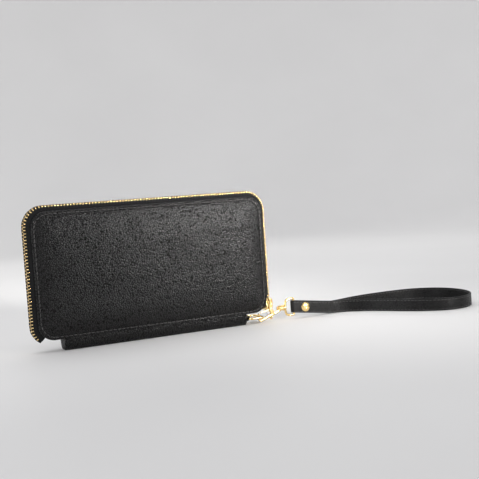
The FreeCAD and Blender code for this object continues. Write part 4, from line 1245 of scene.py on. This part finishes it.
def floor():
    """A wide pale floor that curves up all round into a plain wall: a profile turned about Z."""
    radius = np.concatenate([[0.0, 0.4, 0.8, 1.2], 1.2 + 0.9 * np.sin(np.linspace(0, math.pi / 2, 24)[1:]), [2.1]])
    height = np.concatenate([np.zeros(4), 0.9 * (1 - np.cos(np.linspace(0, math.pi / 2, 24)[1:])), [1.05]])
    a = np.linspace(0, 2 * math.pi, 96, endpoint=False)
    points = np.zeros((96, len(radius), 3))
    points[:, :, 0] = np.cos(a)[:, None] * radius / MM
    points[:, :, 1] = np.sin(a)[:, None] * radius / MM
    points[:, :, 2] = height[None, :] / MM - 0.02
    made = grid_object("floor", points, wrap_rows=True)
    made.data.materials.append(pale_floor("floor", bpy.context.scene.wallet_stage.floor))


def soft_light(name, place, target, size, power, colour, spread=180):
    """An area light that faces its target; spread is the width of its beam in degrees."""
    data = bpy.data.lights.new(name, "AREA")
    data.shape, data.size, data.size_y = "RECTANGLE", size[0], size[1]
    data.energy, data.color, data.spread = power, colour, math.radians(spread)
    lamp = bpy.data.objects.new(name, data)
    lamp.visible_camera = False
    bpy.context.scene.collection.objects.link(lamp)
    ahead = unit(np.array(target, float) - np.array(place, float))
    side = unit(np.cross(ahead, [0.0, 0.0, 1.0]))
    up = np.cross(side, ahead)
    turn = Matrix((side, up, -ahead)).transposed().to_4x4()
    turn.translation = place
    lamp.matrix_world = turn


def studio():
    """Camera, lights and an even pale surrounding."""
    scene = bpy.context.scene
    camera = bpy.data.objects.new("camera", bpy.data.cameras.new("camera"))
    scene.collection.objects.link(camera)
    camera.data.sensor_width = 36.0
    camera.data.lens = 66.43
    camera.data.clip_start, camera.data.clip_end = 0.02, 20.0
    back, up = [-c for c in CAMERA_AHEAD], [-c for c in CAMERA_DOWN]
    turn = Matrix((CAMERA_RIGHT, up, back)).transposed().to_4x4()
    turn.translation = CAMERA_PLACE
    camera.matrix_world = turn
    scene.camera = camera
    power = scene.wallet_stage.key
    soft_light("key", (0.39, -0.72, 0.24), (0.13, 0.0, 0.17), (0.2, 0.16), power, (1.0, 0.985, 0.96), 32)
    soft_light("edge", (-0.62, -0.22, 0.16), (-0.09, 0.0, 0.12), (0.1, 0.3), power * 0.22, (0.97, 0.98, 1.0), 50)
    soft_light("rim", (0.45, 0.95, 0.5), (0.12, 0.0, 0.04), (0.9, 0.25), power * 0.9, (1.0, 0.99, 0.97))
    soft_light("top", (0.1, 0.3, 1.9), (0.1, 0.5, 0.0), (2.4, 2.4), power * 22.0, (1.0, 1.0, 1.0))
    world = bpy.data.worlds.new("surroundings")
    scene.world = world
    world.use_nodes = True
    sky = world.node_tree.nodes["Background"]
    sky.inputs["Color"].default_value = (0.93, 0.95, 1.0, 1.0)
    sky.inputs["Strength"].default_value = 0.52
    scene.view_settings.view_transform = "Standard"


# ---- operators --------------------------------------------------------------------------------------
class WalletStep:
    bl_options = {"REGISTER", "UNDO"}

    def execute(self, context):
        self.build(context)
        return {"FINISHED"}


class WALLET_OT_covers(WalletStep, bpy.types.Operator):
    """Padded leather covers with their seams"""
    bl_idname = "wallet.covers"
    bl_label = "Covers and seams"

    def build(self, context):
        for side, cover in ((-1, "front"), (1, "back")):
            body = cover + "_cover"
            made = cover_leather(side, f"{cover}_cover_leather")
            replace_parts(made, f"{cover}_panel", f"{cover}_padding")
            seam = ring_stitches(f"{cover}_cover_seam", COVER_BORDER, context.scene.wallet_thread.inset, 7.93, side)
            dress(seam, body, "thread", paint("thread"))
            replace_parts(seam, f"{cover}_stitching")


class WALLET_OT_zip(WalletStep, bpy.types.Operator):
    """The long zip: tapes, teeth, slider and puller"""
    bl_idname = "wallet.zip"
    bl_label = "Long zip"

    def build(self, context):
        pitch = context.scene.wallet_zip.pitch
        for side, cover, end_z, shift in ((-1, "front", 20.8, 3.2), (1, "back", 9.6, 3.2 + pitch / 2)):
            tape = cover_tape(side, end_z, f"{cover}_woven_tape")
            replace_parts(tape, f"{cover}_zip_tape")
            teeth = cover_teeth(side, end_z, shift, f"{cover}_row_of_teeth")
            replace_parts(teeth, f"{cover}_zip_teeth")
        made = slider("long_zip_slider", 10.4, 4.9, 2.0, 4.45, 4.15, -1, on_side)
        dress(made, "outer_slider", "gold_metal", paint("gold"))
        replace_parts(made, "zip_slider")
        made = puller("long_zip_puller", 6.65, 14.0, 2.6, on_side)
        dress(made, "outer_puller", "gold_metal", paint("gold"))
        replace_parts(made, "zip_puller")


class WALLET_OT_inside(WalletStep, bpy.types.Operator):
    """Linings, card leaves and their seams"""
    bl_idname = "wallet.inside"
    bl_label = "Linings and card leaves"

    def build(self, context):
        for side, cover in ((-1, "front"), (1, "back")):
            body = cover + "_cover"
            cloth = cover_lining(side, f"{cover}_cloth_lining")
            dress(cloth, body, "lining_cloth", paint("lining cloth"))
            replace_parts(cloth, f"{cover}_lining")
            for number in (1, 2, 3, 4):
                card_leaf(side, number, body)
            card_seams(side, body)


class WALLET_OT_pocket(WalletStep, bpy.types.Operator):
    """The coin pocket, its zip and the four side folds"""
    bl_idname = "wallet.pocket"
    bl_label = "Coin pocket"

    def build(self, context):
        for side, cover in ((-1, "front"), (1, "back")):
            pocket_wall(side, f"coin_pocket_{cover}_wall")
            coin_tape(side, f"coin_zip_{cover}_tape")
        half = 86.0
        section = [(-1.15, 78.9), (-1.15, 60.0), (-1.15, 30.0), (-1.15, 13.4), (-0.9, 12.1), (0.9, 12.1), (1.15, 13.4),
                   (1.15, 30.0), (1.15, 60.0), (1.15, 78.9), (0.85, 78.9), (0.85, 60.0), (0.85, 30.0), (0.85, 13.6),
                   (0.6, 12.5), (-0.6, 12.5), (-0.85, 13.6), (-0.85, 30.0), (-0.85, 60.0), (-0.85, 78.9)]
        cloth = along_x("coin_pocket_cloth_bag", section, -half, half, 3.0, 3)
        dress(cloth, "coin_pocket", "lining_cloth", paint("lining cloth"))
        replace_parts(cloth, "coin_pocket_lining")
        self.teeth(context)
        made = slider("coin_zip_runner", 8.6, 3.2, 85.2, 87.0, 1.7, 1, on_pocket)
        dress(made, "coin_slider", "gold_metal", paint("gold"))
        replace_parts(made, "coin_zip_slider")
        made = puller("coin_zip_tab", 89.25, 12.0, 2.4, on_pocket)
        dress(made, "coin_puller", "gold_metal", paint("gold"))
        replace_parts(made, "coin_zip_puller")
        for cover in ("front", "back"):
            for end in ("left", "right"):
                gusset(cover, end)

    def teeth(self, context):
        pitch, half = 2.2, 74.0
        places, axes = [], []
        for side, shift in ((-1, 0.0), (1, pitch / 2)):
            x = -half + np.arange(int(2 * half / pitch)) * pitch + shift + 0.5
            places.append(np.stack([x, np.full(len(x), side * 1.75), np.full(len(x), 86.1)], 1))
            turn = np.array([[0.0, 0.0, 1.0], [0.0, -float(side), 0.0], [1.0, 0.0, 0.0]])
            axes.append(np.broadcast_to(turn, (len(x), 3, 3)))
        points, faces = tooth_shape(2.0, 0.9, 0.5)
        made = repeated("coin_zip_rows", points, faces, np.vstack(places), np.vstack(axes))
        dress(made, "coin_pocket", "zip_brass", paint("zip metal"))
        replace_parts(made, "coin_zip_teeth")


class WALLET_OT_spine(WalletStep, bpy.types.Operator):
    """The spine band, its lining, the crease folds and the ring's loop"""
    bl_idname = "wallet.spine"
    bl_label = "Spine"

    def build(self, context):
        spine_band()
        spine_cloth()
        spine_end(-1, "spine_left_end")
        spine_end(1, "spine_right_end")
        crease_roll(-1, "back_cover")
        crease_roll(1, "back_cover")
        tab_loop()


class WALLET_OT_clip(WalletStep, bpy.types.Operator):
    """The ring, the clip with its gate, and the swivel eye"""
    bl_idname = "wallet.clip"
    bl_label = "Ring and clip"

    def build(self, context):
        spine_ring()
        clip_body()
        clip_gate()
        gate_pin_and_spring()
        swivel_eye()


class WALLET_OT_strap(WalletStep, bpy.types.Operator):
    """The wrist strap, its stitches and its rivet"""
    bl_idname = "wallet.strap"
    bl_label = "Wrist strap"

    def build(self, context):
        strap_band()
        strap_stitches()
        rivet()


class WALLET_OT_carried_over(WalletStep, bpy.types.Operator):
    """Materials for the small pieces that keep the frame's own shape"""
    bl_idname = "wallet.carried_over"
    bl_label = "Boards, stops and binding"

    def build(self, context):
        kept = {"front_board": "board", "back_board": "board", "zip_stops": "zip metal",
                "coin_zip_stops": "zip metal", "coin_pocket_binding": "inner leather"}
        for node, finish in kept.items():
            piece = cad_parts[node]
            piece.data.materials.clear()
            piece.data.materials.append(paint(finish))


class WALLET_OT_stage(WalletStep, bpy.types.Operator):
    """The pale floor, the soft lights and the camera"""
    bl_idname = "wallet.stage"
    bl_label = "Stage"

    def build(self, context):
        floor()
        studio()


class WALLET_PT_build(bpy.types.Panel):
    """The wallet's settings and steps"""
    bl_label = "Wristlet wallet"
    bl_idname = "WALLET_PT_build"
    bl_space_type = "VIEW_3D"
    bl_region_type = "UI"
    bl_category = "Wallet"

    def draw(self, context):
        for name in GROUPS:
            settings = getattr(context.scene, name)
            box = self.layout.box()
            box.label(text=name.replace("wallet_", "").capitalize())
            for key in settings.bl_rna.properties.keys():
                if key not in {"rna_type", "name"}:
                    box.prop(settings, key)
        for step in STEPS:
            self.layout.operator(step.bl_idname)


GROUPS = {"wallet_leather": WALLET_PG_leather, "wallet_thread": WALLET_PG_thread,
          "wallet_zip": WALLET_PG_zip, "wallet_hardware": WALLET_PG_hardware,
          "wallet_stage": WALLET_PG_stage}
STEPS = (WALLET_OT_covers, WALLET_OT_zip, WALLET_OT_inside, WALLET_OT_pocket, WALLET_OT_spine,
         WALLET_OT_clip, WALLET_OT_strap, WALLET_OT_carried_over, WALLET_OT_stage)


def register():
    for group in GROUPS.values():
        bpy.utils.register_class(group)
    for name, group in GROUPS.items():
        setattr(bpy.types.Scene, name, bpy.props.PointerProperty(type=group))
    for step in STEPS:
        bpy.utils.register_class(step)
    bpy.utils.register_class(WALLET_PT_build)


def unregister():
    bpy.utils.unregister_class(WALLET_PT_build)
    for step in reversed(STEPS):
        bpy.utils.unregister_class(step)
    for name in GROUPS:
        delattr(bpy.types.Scene, name)
    for group in GROUPS.values():
        bpy.utils.unregister_class(group)


def main():
    register()
    for step in STEPS:
        getattr(bpy.ops.wallet, step.bl_idname.split(".")[1])()


if __name__ == "__main__":
    main()
